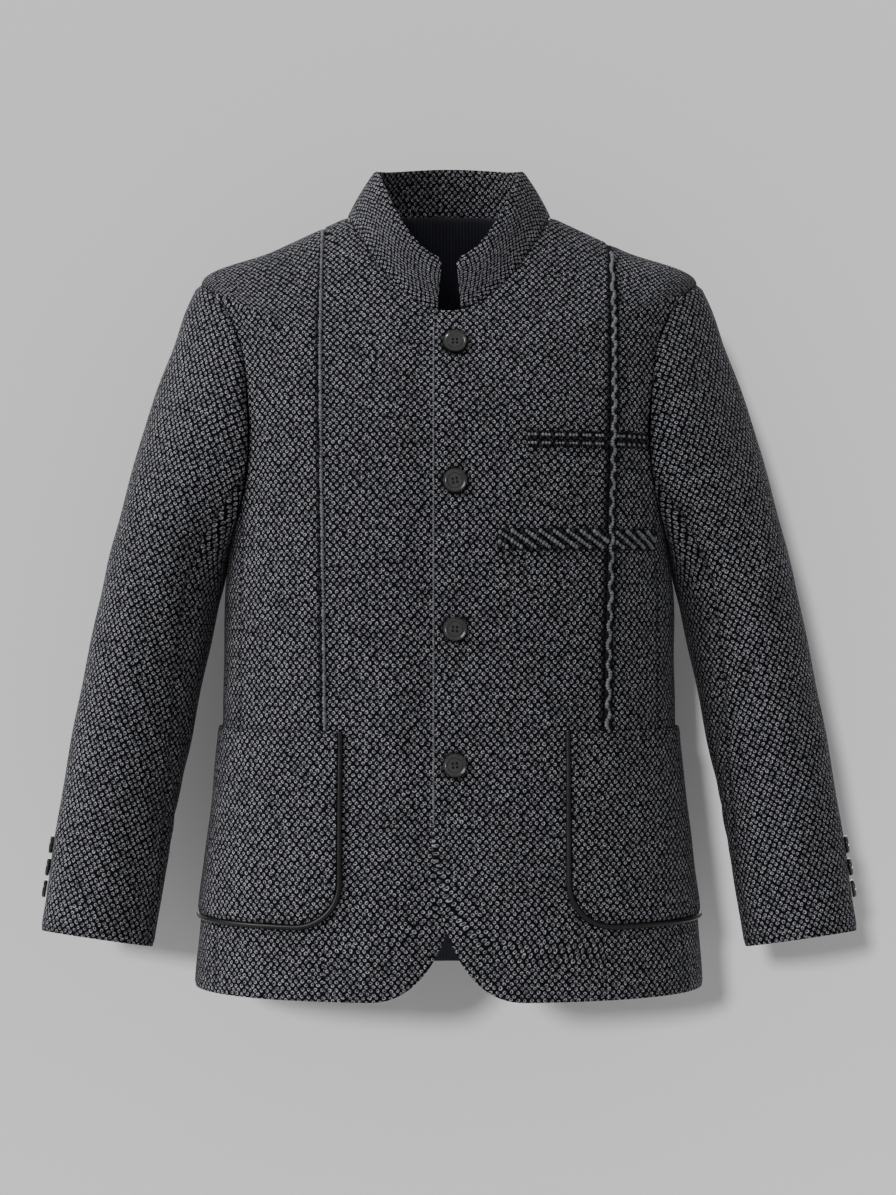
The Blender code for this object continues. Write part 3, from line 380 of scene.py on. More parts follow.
class Table:
    """Rows of named columns, read at any places by a smooth curve that doesn't overshoot."""

    def __init__(self, columns, rows, key):
        data = np.array(rows)
        data = data[np.argsort(data[:, columns.index(key)])]
        self.place = data[:, columns.index(key)]
        self.columns = {name: data[:, i] for i, name in enumerate(columns)}
        self.slopes = {name: self.find_slopes(values) for name, values in self.columns.items()}

    def find_slopes(self, values):
        steps = np.diff(self.place)
        rises = np.diff(values) / steps
        slopes = np.concatenate(([rises[0]], np.zeros(len(values) - 2), [rises[-1]]))
        for i in range(1, len(values) - 1):
            if rises[i - 1] * rises[i] > 0:
                near = 2 * steps[i] + steps[i - 1]
                far = steps[i] + 2 * steps[i - 1]
                slopes[i] = (near + far) / (near / rises[i - 1] + far / rises[i])
        return slopes

    def at(self, name, place):
        values = self.columns[name]
        slopes = self.slopes[name]
        i = np.clip(np.searchsorted(self.place, place) - 1, 0, len(values) - 2)
        step = self.place[i + 1] - self.place[i]
        t = np.clip((place - self.place[i]) / step, 0.0, 1.0)
        start = (1 + 2 * t) * (1 - t) ** 2 * values[i] + t * t * (3 - 2 * t) * values[i + 1]
        bend = t * (1 - t) ** 2 * slopes[i] - t * t * (1 - t) * slopes[i + 1]
        return start + bend * step


RING_TABLE = Table(RING_COLUMNS, RINGS, "height")


def surface(angle, height):
    """Points of the garment surface, for arrays of ring angles and heights."""
    angle, height = np.broadcast_arrays(np.asarray(angle, float), np.asarray(height, float))
    ring = {name: RING_TABLE.at(name, height) for name in RING_COLUMNS}
    across = np.sin(angle)
    along = np.cos(angle)
    power = 2 / ring["squareness"]
    end_y = np.where(along > 0, ring["y_front"], ring["y_back"])
    end_z = np.where(along > 0, ring["z_front"], ring["z_back"])
    x = np.sign(across) * ring["half_width"] * np.abs(across) ** power
    y = ring["y_side"] + (end_y - ring["y_side"]) * np.abs(along) ** power
    z = ring["z_side"] + (end_z - ring["z_side"]) * along * along
    return np.stack([x, y, z], axis=-1)


def unit(vectors):
    return vectors / np.maximum(np.linalg.norm(vectors, axis=-1, keepdims=True), 1e-12)


def surface_normal(angle, height):
    turn = 0.004
    rise = 0.0008
    angle, height = np.broadcast_arrays(np.asarray(angle, float), np.asarray(height, float))
    low = np.maximum(0.0, height - rise)
    high = np.minimum(NECK_SEAM, height + rise)
    around = surface(angle + turn, height) - surface(angle - turn, height)
    return unit(np.cross(around, surface(angle, high) - surface(angle, low)))


ARC_ANGLES = np.linspace(-0.6, TURN + 0.6, 721)
arc_cache = {}


def arc_table(height):
    key = round(float(height), 7)
    if key not in arc_cache:
        steps = np.linalg.norm(np.diff(surface(ARC_ANGLES, key), axis=0), axis=1)
        arc_cache[key] = np.concatenate(([0.0], np.cumsum(steps)))
    return arc_cache[key]


def arc_at(angle, height):
    return np.interp(angle, ARC_ANGLES, arc_table(height))


def angle_at(arc, height):
    return np.interp(arc, arc_table(height), ARC_ANGLES)


def angle_at_x(x, height):
    half_width = RING_TABLE.at("half_width", height)
    part = np.minimum(1.0, np.abs(x) / half_width)
    return np.sign(x) * np.arcsin(part ** (RING_TABLE.at("squareness", height) / 2))


def arc_at_x(x, height):
    return arc_at(angle_at_x(x, height), height)


def height_at_z(angle, z):
    """The height whose ring passes through z at this ring angle."""
    angle, z = np.broadcast_arrays(np.asarray(angle, float), np.asarray(z, float))
    low = np.zeros(z.shape)
    high = np.full(z.shape, NECK_SEAM)
    for _ in range(36):
        middle = (low + high) / 2
        below = surface(angle, middle)[..., 2] < z
        low = np.where(below, middle, low)
        high = np.where(below, high, middle)
    return (low + high) / 2


def height_of_half_width(half_width):
    """The height on the shoulder where the ring is this wide."""
    heights = np.linspace(SHOULDER_TIP, NECK_SEAM, 1200)
    widths = RING_TABLE.at("half_width", heights)
    return float(np.interp(-half_width, -widths, heights))


print("chest round", round(float(arc_at(TURN, 0.4136) - arc_at(0.0, 0.4136)), 3), "m")

# %% [markdown]
# ## Creases
# A jacket of this weight hangs almost smooth, with a few soft troughs: below the arms, across the
# small of the back and where the fronts are drawn to a button. They could be simulated, but cloth
# this stiff would only sag away from its cut. Each trough is given as a line with a width
# and a depth, and all the torso's panels share them, so that seams stay closed.

# %% Torso creases
# Ends of each line (x, z), front (-1) or back (1), width and depth in metres
TORSO_CREASES = (
    (0.200, -0.330, 0.128, -0.415, -1, 0.011, -0.0017),
    (0.196, -0.372, 0.150, -0.452, -1, 0.014, -0.0012),
    (-0.198, -0.322, -0.136, -0.398, -1, 0.012, -0.0020),
    (-0.204, -0.350, -0.146, -0.446, -1, 0.010, -0.0011),
    (0.030, -0.262, 0.110, -0.300, -1, 0.016, -0.0008),
    (-0.024, -0.400, -0.105, -0.440, -1, 0.018, -0.0010),
    (0.022, -0.392, 0.090, -0.372, -1, 0.015, -0.0007),
    (0.186, -0.175, 0.168, -0.262, -1, 0.013, -0.0016),
    (-0.188, -0.168, -0.172, -0.270, -1, 0.014, -0.0019),
    (0.050, -0.520, 0.064, -0.690, -1, 0.020, 0.0012),
    (-0.058, -0.540, -0.072, -0.700, -1, 0.022, 0.0014),
    (0.150, -0.560, 0.172, -0.700, -1, 0.022, 0.0013),
    (-0.160, -0.550, -0.182, -0.690, -1, 0.020, 0.0011),
    (0.190, -0.210, 0.120, -0.330, 1, 0.014, -0.0024),
    (-0.188, -0.225, -0.132, -0.350, 1, 0.016, -0.0021),
    (0.170, -0.360, 0.040, -0.420, 1, 0.013, -0.0018),
    (-0.176, -0.372, -0.030, -0.410, 1, 0.015, -0.0020),
    (-0.120, -0.432, 0.095, -0.448, 1, 0.012, -0.0013),
    (0.070, -0.480, 0.098, -0.700, 1, 0.026, 0.0022),
    (-0.055, -0.500, -0.088, -0.705, 1, 0.024, 0.0019),
    (0.000, -0.060, 0.060, -0.105, 1, 0.016, -0.0012),
)


def crease_depth(first, second, creases):
    """Sum of the creases at points given by two coordinates of the cloth."""
    total = np.zeros(np.shape(first))
    for x1, z1, x2, z2, width, depth in creases:
        along_x = x2 - x1
        along_z = z2 - z1
        length = along_x ** 2 + along_z ** 2
        place = ((first - x1) * along_x + (second - z1) * along_z) / length
        part = np.clip(place, 0.0, 1.0)
        gap = (first - x1 - part * along_x) ** 2 + (second - z1 - part * along_z) ** 2
        fade = 0.35 + 0.65 * np.sin(np.pi * np.clip(part, 0.08, 0.92))
        total = total + depth * fade * np.exp(-gap / width ** 2)
    return total


def torso_drape(points):
    """How far the cloth stands out at points of the torso."""
    x = points[..., 0]
    y = points[..., 1]
    z = points[..., 2]
    total = np.zeros(x.shape)
    for facing in (-1, 1):
        lines = [c[:4] + c[5:] for c in TORSO_CREASES if c[4] == facing]
        share = smoothstep(facing * y, 0.02, 0.07)
        total = total + share * crease_depth(x, z, lines)
    uneven = np.sin(z * 61 + x * 23) + np.sin(x * 83 - z * 37 + 1.3) + np.sin(z * 97 - y * 71)
    calm = smoothstep(-z, 0.02, 0.16)
    return (total + 0.00022 * uneven) * calm


TUCK_DEPTH = 0.0031
TUCK_FULL_X = 0.0190
TUCK_END_X = 0.0480


def mirrored(points):
    return points * np.array([-1.0, 1.0, 1.0])


def skin(angle, height, lift=0.0, hand="left", tucked=False):
    """Points on the draped cloth, lifted off it, before a right-hand piece is mirrored."""
    base = surface(angle, height)
    normal = surface_normal(angle, height)
    rise = torso_drape(base if hand == "left" else mirrored(base)) + lift
    if tucked:
        rise = rise - TUCK_DEPTH * smoothstep(-base[..., 0], -TUCK_END_X, -TUCK_FULL_X)
    return base + normal * np.asarray(rise)[..., None]


print("creases placed", len(TORSO_CREASES))

# %% [markdown]
# ## Making a cloth panel
# A panel is a grid of points with a thickness. A grid follows the cut exactly, and lets each point
# carry its place in the flat cloth, so the weave runs straight down every panel. The edges roll
# under a little, as a pressed seam does, and a value for each point paints shade along the seam lines.

# %% Panel helpers
CLOTH = 0.0025
SEAM_HALF_GAP = 0.00016
ROLL_DEPTH = 0.0010
ROLL_WIDTH = 0.0026


def grid_normals(grid):
    """Outward normals of a grid whose rows run up and whose columns run around."""
    around = np.gradient(grid, axis=1)
    up = np.gradient(grid, axis=0)
    return unit(np.cross(around, up))


def row_lengths(grid):
    steps = np.linalg.norm(np.diff(grid, axis=1), axis=2)
    return np.concatenate((np.zeros((len(grid), 1)), np.cumsum(steps, axis=1)), axis=1)


def column_lengths(grid):
    steps = np.linalg.norm(np.diff(grid, axis=0), axis=2)
    return np.concatenate((np.zeros((1, grid.shape[1])), np.cumsum(steps, axis=0)), axis=0)


def flattened(vectors, normals):
    """Unit directions laid into the surface."""
    return unit(vectors - normals * np.sum(vectors * normals, axis=-1, keepdims=True))


def cloth_map(grid, grain, start, reference):
    """Unrolls a grid: places in the flat cloth, in metres, with the warp along the grain."""
    normal = grid_normals(grid)
    warp = flattened(grain, normal)
    weft = np.cross(warp, normal)
    steps = np.diff(grid[:, reference], axis=0)
    way = [np.concatenate(([0.0], np.cumsum(np.sum(
        steps * unit(side[1:, reference] + side[:-1, reference]), axis=1)))) for side in (weft, warp)]
    cloth = np.zeros(grid.shape[:2] + (2,))
    cloth[:, reference] = np.stack(way, axis=-1) + np.array(start)
    for direction, last in ((1, grid.shape[1]), (-1, -1)):
        carried = warp[:, reference]
        for column in range(reference + direction, last, direction):
            following = flattened(carried, normal[:, column])
            between = unit(carried + following)
            across = np.cross(between, unit(normal[:, column] + normal[:, column - direction]))
            step = grid[:, column] - grid[:, column - direction]
            moved = np.stack([np.sum(step * across, axis=1), np.sum(step * between, axis=1)], axis=-1)
            cloth[:, column] = cloth[:, column - direction] + moved
            carried = following
    return cloth


def torso_grain(grid):
    """Warp direction: up, and over the shoulders straight from front to back."""
    normal = grid_normals(grid)
    steep = smoothstep(normal[..., 2:3], 0.15, 0.7)
    facing = np.where(grid[..., 1:2] < 0.01, 1.0, -1.0)
    over = np.concatenate((np.zeros_like(steep), facing, np.zeros_like(steep)), axis=2)
    return np.array([0.0, 0.0, 1.0]) * (1 - steep) + over * steep


def roll_edges(outer, normals, depth=ROLL_DEPTH, width=ROLL_WIDTH, sides=(1, 1), ends=(1, 1)):
    """Presses the edges of a grid in; sides are its columns' ends, ends its first and last row."""
    across = row_lengths(outer)
    up = column_lengths(outer)
    press = np.zeros(across.shape)
    for share, gap in ((sides[0], across), (sides[1], across[:, -1:] - across),
                       (ends[0], up), (ends[1], up[-1:] - up)):
        press = np.maximum(press, share * np.exp(-(gap / width) ** 2))
    return outer - normals * (press * depth)[..., None]


def face_outwards(build):
    """Turns a closed body's faces out; a lathe or a loft can leave them inside out."""
    bmesh.ops.recalc_face_normals(build, faces=build.faces)
    if build.calc_volume(signed=True) < 0:
        bmesh.ops.reverse_faces(build, faces=build.faces)


def finished_mesh(build, name):
    mesh = bpy.data.meshes.new(name)
    build.to_mesh(mesh)
    build.free()
    return mesh


def make_panel(name, outer, inner, cloth, shade, outside, inside):
    """A thin wall between two grids: the outside, the lined inside and the edges."""
    rows, columns = outer.shape[:2]
    count = rows * columns
    index = np.arange(count).reshape(rows, columns)
    quads = np.stack([index[:-1, :-1], index[:-1, 1:], index[1:, 1:], index[1:, :-1]], axis=-1)
    quads = quads.reshape(-1, 4)
    border = np.concatenate((index[0, :-1], index[:-1, -1], index[-1, :0:-1], index[:0:-1, 0]))
    following = np.roll(border, -1)
    rim = np.stack([following, border, border + count, following + count], axis=-1)
    faces = np.concatenate((quads, quads[:, ::-1] + count, rim))
    points = np.concatenate((outer.reshape(-1, 3), inner.reshape(-1, 3)))
    mesh = bpy.data.meshes.new(name)
    mesh.from_pydata(points.tolist(), [], faces.tolist())
    mesh.materials.append(outside)
    mesh.materials.append(inside)
    slots = np.zeros(len(faces), np.int32)
    slots[len(quads):2 * len(quads)] = 1
    mesh.polygons.foreach_set("material_index", slots)
    flat = np.tile(cloth.reshape(-1, 2), (2, 1))
    layer = mesh.uv_layers.new(name="cloth")
    layer.data.foreach_set("uv", flat[faces.reshape(-1)].astype(np.float32).reshape(-1))
    # Painted shade: on a lined panel the cut edges fade to fully dark towards the inside, as an edge in
    # shadow
    under = np.ones(count) if inside == LINING else shade.reshape(-1)
    values = np.concatenate((shade.reshape(-1), under)).astype(np.float32)
    mesh.attributes.new("painted_seam_shade", "FLOAT", "POINT").data.foreach_set("value", values)
    mesh.shade_smooth()
    mesh.set_sharp_from_angle(angle=math.radians(50))
    return add_object(name, mesh)


def dress(node, rolled, inner, cloth, shade, finishes=(WOOL_TWEED, LINING)):
    """Makes a cloth piece, sets it on the root body and hides the solid that it stands for."""
    piece = make_panel(node + "_cloth", rolled, inner, cloth, shade, *finishes)
    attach(piece, "root")
    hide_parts(node)


# %% [markdown]
# ## Levels and seams
# All torso panels use the same levels, from the hem to the neck, so their edges meet point to
# point. Around the arm the levels bunch up at the top and bottom of the oval armhole. The fronts
# end at lengthwise seams that run from the hem over the chest to the shoulder.

# %% Seam places
ARMHOLE_LOW = 0.4136
ARMHOLE_STEPS = 12
ARMHOLE_REACH = {-1: 0.60, 1: 0.56}
SIDE_SEAM_STEP = 3
SIDE_SEAM = {-1: 0.49, 1: 0.46}
SIDE_SEAM_BEND = 0.24
SEAM_TOP_X = {"left": 0.1500, "right": 0.1180}
SEAM_TOP = {hand: height_of_half_width(x) for hand, x in SEAM_TOP_X.items()}
SEAM_WAIST_X = {"left": 0.1405, "right": 0.1115}


def armhole_height(step):
    middle = (ARMHOLE_LOW + SHOULDER_TIP) / 2
    return middle - (SHOULDER_TIP - ARMHOLE_LOW) / 2 * np.cos(math.pi * step / ARMHOLE_STEPS)


def armhole_step(height):
    middle = (ARMHOLE_LOW + SHOULDER_TIP) / 2
    part = np.clip((middle - height) * 2 / (SHOULDER_TIP - ARMHOLE_LOW), -1.0, 1.0)
    return ARMHOLE_STEPS / math.pi * np.arccos(part)


def armhole_reach(step):
    lift = np.maximum(0.0, np.sin(math.pi * np.asarray(step, float) / ARMHOLE_STEPS))
    return np.where(np.asarray(step) > ARMHOLE_STEPS / 2, lift ** 0.45, lift ** 0.90)


SIDE_SEAM_TOP = float(armhole_height(SIDE_SEAM_STEP))


def side_angle(height, facing):
    """Where the front (-1) or back (1) panels end at the side."""
    if height <= SIDE_SEAM_TOP:
        top_reach = ARMHOLE_REACH[facing] * float(armhole_reach(SIDE_SEAM_STEP))
        blend = float(smoothstep(height, SIDE_SEAM_BEND, SIDE_SEAM_TOP))
        return QUARTER + facing * (SIDE_SEAM[facing] + (top_reach - SIDE_SEAM[facing]) * blend)
    if height >= SHOULDER_TIP:
        return QUARTER
    return QUARTER + facing * ARMHOLE_REACH[facing] * float(armhole_reach(armhole_step(height)))


def seam_angle(height, hand):
    if height >= SEAM_TOP[hand]:
        return QUARTER
    blend = smoothstep(height, 0.05, SEAM_TOP[hand])
    x = SEAM_WAIST_X[hand] + (SEAM_TOP_X[hand] - SEAM_WAIST_X[hand]) * blend
    return float(angle_at_x(x, height))


def ease(count, pull):
    """Shares from 0 to 1 that lie closer together near both ends."""
    t = np.linspace(0, 1, count)
    return t - pull * np.sin(TURN * t) / TURN


BODY = np.linspace(0.0, ARMHOLE_LOW, 74)
HEM_FINE = np.array([0.0008, 0.0018, 0.003, 0.0045])
ARMHOLE = armhole_height(np.arange(0.25, ARMHOLE_STEPS, 0.25))
SHOULDER = np.linspace(SHOULDER_TIP, NECK_SEAM, 28)
LEVELS = np.unique(np.round(np.concatenate((BODY, HEM_FINE, ARMHOLE, SHOULDER)), 6))
print("levels", len(LEVELS))

# %% [markdown]
# ## The torso panels
# Each side has a front, a side front beyond the lengthwise seam and a side panel under the arm; the
# back is one piece. They could be lofted by hand, but reading the same seam formulas keeps them on
# their solids. A right-hand panel is worked out as a left-hand one and then mirrored, while its
# creases are its own.

# %% Panel finishing
# Width of the painted shade line along seams and panel ends
PAINTED_SEAM_SHADE_WIDTH = 0.0016


def painted_line_shade(outer, first=(0.0, 1.0), last=(0.0, 1.0), ends=(0.0, 0.0)):
    """Painted shade along a panel's edges; first and last give a strength and a width in metres."""
    across = row_lengths(outer)
    up = column_lengths(outer)
    shade = np.zeros(across.shape)
    for (strength, width), gap in ((first, across), (last, across[:, -1:] - across)):
        shade = np.maximum(shade, strength * (1 - smoothstep(gap, width * 0.7, width * 1.3)))
    for strength, gap in ((ends[0], up), (ends[1], up[-1:] - up)):
        shade = np.maximum(shade, strength * np.exp(-(gap / PAINTED_SEAM_SHADE_WIDTH) ** 2))
    return shade


def finish_panel(node, outer, hand, shade, hangs_from, **roll):
    """Rolls the edges in, adds the inside and maps the weave, then mirrors a right-hand panel."""
    if hand == "right":
        outer = mirrored(outer)[:, ::-1]
        shade = shade[:, ::-1]
        if "sides" in roll:
            roll["sides"] = roll["sides"][::-1]
    normals = grid_normals(outer)
    rolled = roll_edges(outer, normals, **roll)
    inner = outer - normals * CLOTH
    column = 0 if hand == "left" else outer.shape[1] - 1
    start = (outer[0, column, 0], outer[0, column, 2])
    cloth = cloth_map(outer, torso_grain(outer), start, column)
    dress(node, rolled, inner, cloth, shade)


# %% Fronts
EDGE_X = 0.0131
EDGE_MIDDLE_X = -0.0020
EDGE_TOP_X = 0.0086
CUTAWAY_WIDTH = 0.085
CUTAWAY_HEIGHT = 0.160
CUTAWAY_POWER = 2.3
CUTAWAY_STEPS = 26
CUTAWAY_FADE = 0.250
SEAM_OFFSETS = (0.060, 0.048, 0.038, 0.029, 0.021, 0.014, 0.010, 0.0075, 0.0055, 0.004, 0.0027,
                0.0017, 0.0008, 0.0)


def edge_start_x(height, hand):
    """How far a front reaches past the middle, before its cutaway corner."""
    middle = EDGE_MIDDLE_X if hand == "left" else -EDGE_MIDDLE_X
    return middle - (EDGE_X + (EDGE_TOP_X - EDGE_X) * smoothstep(height, NECK_SEAM - 0.06, NECK_SEAM))


def front_columns(hand):
    """The way along from the front edge, as a share, and the rise of the hem there."""
    start = arc_at_x(edge_start_x(0.0, hand), 0.0)
    whole = arc_at(seam_angle(0.0, hand), 0.0) - start
    turns = QUARTER * np.linspace(0, 1, CUTAWAY_STEPS + 1)
    ways = CUTAWAY_WIDTH * (1 - np.maximum(0.0, np.cos(turns)) ** (2 / CUTAWAY_POWER))
    rises = CUTAWAY_HEIGHT * (1 - np.sin(turns) ** (2 / CUTAWAY_POWER))
    more = [whole - gap for gap in SEAM_OFFSETS if whole - gap > ways[-1] + 0.002]
    shares = np.concatenate((ways, more)) / whole
    return shares, np.concatenate((rises, np.zeros(len(more))))


def front_places(hand):
    shares, rises = front_columns(hand)
    angles = np.zeros((len(LEVELS), len(shares)))
    heights = np.zeros_like(angles)
    for row, level in enumerate(LEVELS):
        faded = rises + level * (CUTAWAY_FADE - rises) / CUTAWAY_FADE
        heights[row] = faded if level < CUTAWAY_FADE else level
        for column, share in enumerate(shares):
            height = heights[row, column]
            start = arc_at_x(edge_start_x(height, hand), height)
            end = arc_at(seam_angle(height, hand), height) - SEAM_HALF_GAP
            angles[row, column] = angle_at(start + (end - start) * share, height)
    return angles, heights


POCKET_TOP = -0.4790
FRONT_BUTTON_X = 0.0052
FRONT_BUTTON_Z = (-0.1288, -0.2542, -0.3866, -0.5084)
FRONT_BUTTON = (0.0107, 0.0040)
# Painted shade round each front button: its strength, and the gaps from the button's rim between which
# it fades out
BUTTON_PAINTED_SHADE = (0.9, 0.0006, 0.0040)


def above_pocket(shade, outer):
    """Ends the painted shade of a seam where the pocket covers it."""
    return shade * smoothstep(outer[..., 2], POCKET_TOP - 0.03, POCKET_TOP - 0.01)


for hand in ("left", "right"):
    angles, heights = front_places(hand)
    outer = skin(angles, heights, hand=hand, tucked=hand == "right")
    # Painted shade: a dark band along the left front's seam, beside the braid
    shade = painted_line_shade(outer, last=(0.86, 0.0070) if hand == "left" else (0.0, 0.001))
    shade = above_pocket(shade, outer)
    if hand == "left":
        # Painted shadow: a dark ring in the cloth round each front button
        for z in FRONT_BUTTON_Z:
            gap = np.hypot(outer[..., 0] - FRONT_BUTTON_X, outer[..., 2] - z) - FRONT_BUTTON[0]
            shade = np.maximum(shade, BUTTON_PAINTED_SHADE[0] * (1 - smoothstep(gap, *BUTTON_PAINTED_SHADE[1:])))
    finish_panel("front_" + hand, outer, hand, shade, ["back"])

# %% Side fronts
# Painted shade along the lengthwise seam, as strength and width: beside the braid on the left, beside
# the cord on the right
SIDE_FRONT_PAINTED_SHADE = {"left": (0.86, 0.0070), "right": (0.80, 0.0042)}
SIDE_FRONT_OFFSETS = (0.0, 0.0010, 0.0022, 0.0036, 0.0050, 0.0066, 0.0085)
SIDE_FRONT_COLUMNS = 18
SIDE_FRONT_PULL = 1.6
for hand in ("left", "right"):
    levels = np.append(LEVELS[LEVELS < SEAM_TOP[hand] - 0.002], SEAM_TOP[hand] - 0.0012)
    angles = np.zeros((len(levels), len(SIDE_FRONT_OFFSETS) + SIDE_FRONT_COLUMNS))
    shares = 1 - (1 - np.linspace(0, 1, SIDE_FRONT_COLUMNS + 1)[1:]) ** SIDE_FRONT_PULL
    for row, level in enumerate(levels):
        start = arc_at(seam_angle(level, hand), level) + SEAM_HALF_GAP
        end = arc_at(side_angle(level, -1), level) - SEAM_HALF_GAP
        near = np.array(SIDE_FRONT_OFFSETS) * min(1.0, (end - start) / 0.030)
        rest = near[-1] + (end - start - near[-1]) * shares
        angles[row] = angle_at(start + np.concatenate((near, rest)), level)
    outer = skin(angles, levels[:, None], hand=hand)
    # Painted shade: dark lines along both seams of the side front
    shade = painted_line_shade(outer, first=SIDE_FRONT_PAINTED_SHADE[hand], last=(0.5, PAINTED_SEAM_SHADE_WIDTH))
    finish_panel("side_front_" + hand, outer, hand, above_pocket(shade, outer), ["front_" + hand],
                 sides=(1, 0.1))

# %% Side panels
tops = np.arange(ARMHOLE_STEPS - SIDE_SEAM_STEP, ARMHOLE_STEPS + SIDE_SEAM_STEP + 0.1, 0.25)


def armhole_place(index):
    """Ring angle and height of an armhole point, counted from the top towards the front."""
    facing = -1 if index <= ARMHOLE_STEPS else 1
    step = ARMHOLE_STEPS - index if index <= ARMHOLE_STEPS else index - ARMHOLE_STEPS
    angle = QUARTER + facing * ARMHOLE_REACH[facing] * float(armhole_reach(step))
    return angle, float(armhole_height(step))


for hand in ("left", "right"):
    levels = LEVELS[LEVELS <= SIDE_SEAM_TOP]
    angles = np.zeros((len(levels), len(tops)))
    heights = np.zeros_like(angles)
    for column, top in enumerate(tops):
        top_angle, top_height = armhole_place(top)
        low_end, high_end = (arc_at(side_angle(top_height, facing), top_height) for facing in (-1, 1))
        top_share = (arc_at(top_angle, top_height) - low_end) / max(1e-6, high_end - low_end)
        share = column / (len(tops) - 1)
        for row, level in enumerate(levels):
            part = level / levels[-1]
            height = part * top_height
            start = arc_at(side_angle(height, -1), height) + SEAM_HALF_GAP
            end = arc_at(side_angle(height, 1), height) - SEAM_HALF_GAP
            way = share + (np.clip(top_share, 0.0, 1.0) - share) * part
            angles[row, column] = angle_at(start + (end - start) * way, height)
            heights[row, column] = height
    outer = skin(angles, heights, hand=hand)
    # Painted shade: dark lines along both seams of the side panel
    shade = painted_line_shade(outer, first=(0.5, PAINTED_SEAM_SHADE_WIDTH), last=(0.5, PAINTED_SEAM_SHADE_WIDTH))
    finish_panel("side_panel_" + hand, outer, hand, shade, ["side_front_" + hand, "back"])

# %% Back
BACK_COLUMNS = 84
BACK_PULL = 0.665
angles = np.zeros((len(LEVELS), BACK_COLUMNS + 1))
for row, level in enumerate(LEVELS):
    start_angle = side_angle(level, 1)
    start = arc_at(start_angle, level) + SEAM_HALF_GAP
    end = arc_at(TURN - start_angle, level) - SEAM_HALF_GAP
    angles[row] = angle_at(start + (end - start) * ease(BACK_COLUMNS + 1, BACK_PULL), level)
outer = skin(angles, LEVELS[:, None])
# Painted shade: dark lines along both side seams of the back
shade = painted_line_shade(outer, first=(0.5, PAINTED_SEAM_SHADE_WIDTH), last=(0.5, PAINTED_SEAM_SHADE_WIDTH))
rolled = roll_edges(outer, grid_normals(outer))
middle = BACK_COLUMNS // 2
cloth = cloth_map(outer, torso_grain(outer), (0.0, outer[0, middle, 2]), middle)
dress("back", rolled, outer - grid_normals(outer) * CLOTH, cloth, shade)

# %% [markdown]
# ## Sleeves
# A tailored sleeve has two pieces, and it bends forward at the elbow. Its head starts at the
# armhole and swells out over the seam. The sleeve could be one tube, but its two seams show at the
# cuff, and the weave has to turn with the arm. Creases lie in the cloth's own plane here: the way
# around from the outer line, and the way down from the shoulder.

# %% Sleeve form
SLEEVE_COLUMNS = ("z", "x", "half_across", "half_deep", "y")
SLEEVE_RINGS = (
    (-0.3450, 0.2680, 0.0548, 0.0640, 0.000),
    (-0.3985, 0.2795, 0.0553, 0.0625, -0.002),
    (-0.4550, 0.2905, 0.0549, 0.0600, -0.006),
    (-0.5113, 0.3010, 0.0546, 0.0570, -0.012),
    (-0.5490, 0.3075, 0.0541, 0.0545, -0.017),
    (-0.5960, 0.3145, 0.0534, 0.0510, -0.023),
    (-0.6430, 0.3215, 0.0528, 0.0470, -0.029),
    (-0.6744, 0.3261, 0.0526, 0.0445, -0.033),
)
SLEEVE_TABLE = Table(SLEEVE_COLUMNS, SLEEVE_RINGS, "z")
SLEEVE_TOP_Z = SLEEVE_RINGS[0][0]
CUFF_Z = SLEEVE_RINGS[-1][0]
SLEEVE_GAP = 0.00038
SLEEVE_TWIST = math.radians(40)
RING_POINTS = 2 * ARMHOLE_STEPS
SLEEVE_SPANS = {"upper_sleeve": (21.0, 32.0), "under_sleeve": (8.0, 21.0)}
ARM_GRAIN = np.array([-0.285, 0.0, 0.958])
MEAN_RADIUS = 0.056
HEAD_SWELL = 0.0026


def sleeve_middle(z):
    z = np.asarray(z, float)
    return np.stack([SLEEVE_TABLE.at("x", z), SLEEVE_TABLE.at("y", z), z], axis=-1)


def sleeve_axis(z):
    ahead = sleeve_middle(max(CUFF_Z, z - 0.01))
    behind = sleeve_middle(min(SLEEVE_TOP_Z, z + 0.01))
    return unit(ahead - behind)


def sleeve_ring(z, turn):
    """Points round the sleeve; the turn is 0 outside and a quarter turn in front."""
    axis = sleeve_axis(z)
    outwards = unit(np.cross([0.0, 1.0, 0.0], axis))
    outwards = outwards * np.sign(outwards[0])
    forwards = unit(np.cross(outwards, axis))
    forwards = forwards * -np.sign(forwards[1])
    across = np.cos(turn)[:, None] * outwards * SLEEVE_TABLE.at("half_across", z)
    deep = np.sin(turn)[:, None] * forwards * SLEEVE_TABLE.at("half_deep", z)
    return sleeve_middle(z) + across + deep


def sleeve_head(indexes, parts):
    """Rows between the armhole (part 0) and the first full ring (part 1)."""
    turn = TURN * indexes / RING_POINTS
    places = np.array([armhole_place(index % RING_POINTS) for index in indexes])
    start = surface(places[:, 0], places[:, 1]) + np.array([SLEEVE_GAP, 0.0, 0.0])
    end = sleeve_ring(SLEEVE_TOP_Z, turn)
    side = np.sin(turn) ** 2
    way = np.stack([0.45 + 0.30 * side, -0.20 * np.sin(turn), -0.89 + 0.30 * side], axis=-1)
    outer_share = (1 + np.cos(turn))[:, None] / 2
    leave = unit(way) * (0.034 + 0.226 * outer_share)
    arrive = sleeve_axis(SLEEVE_TOP_Z) * (0.050 + 0.230 * outer_share)
    rows = []
    for part in parts:
        left = 1 - part
        rows.append(start * (1 + 2 * part) * left * left + leave * part * left * left
                    + end * part * part * (3 - 2 * part) - arrive * part * part * left)
    return rows


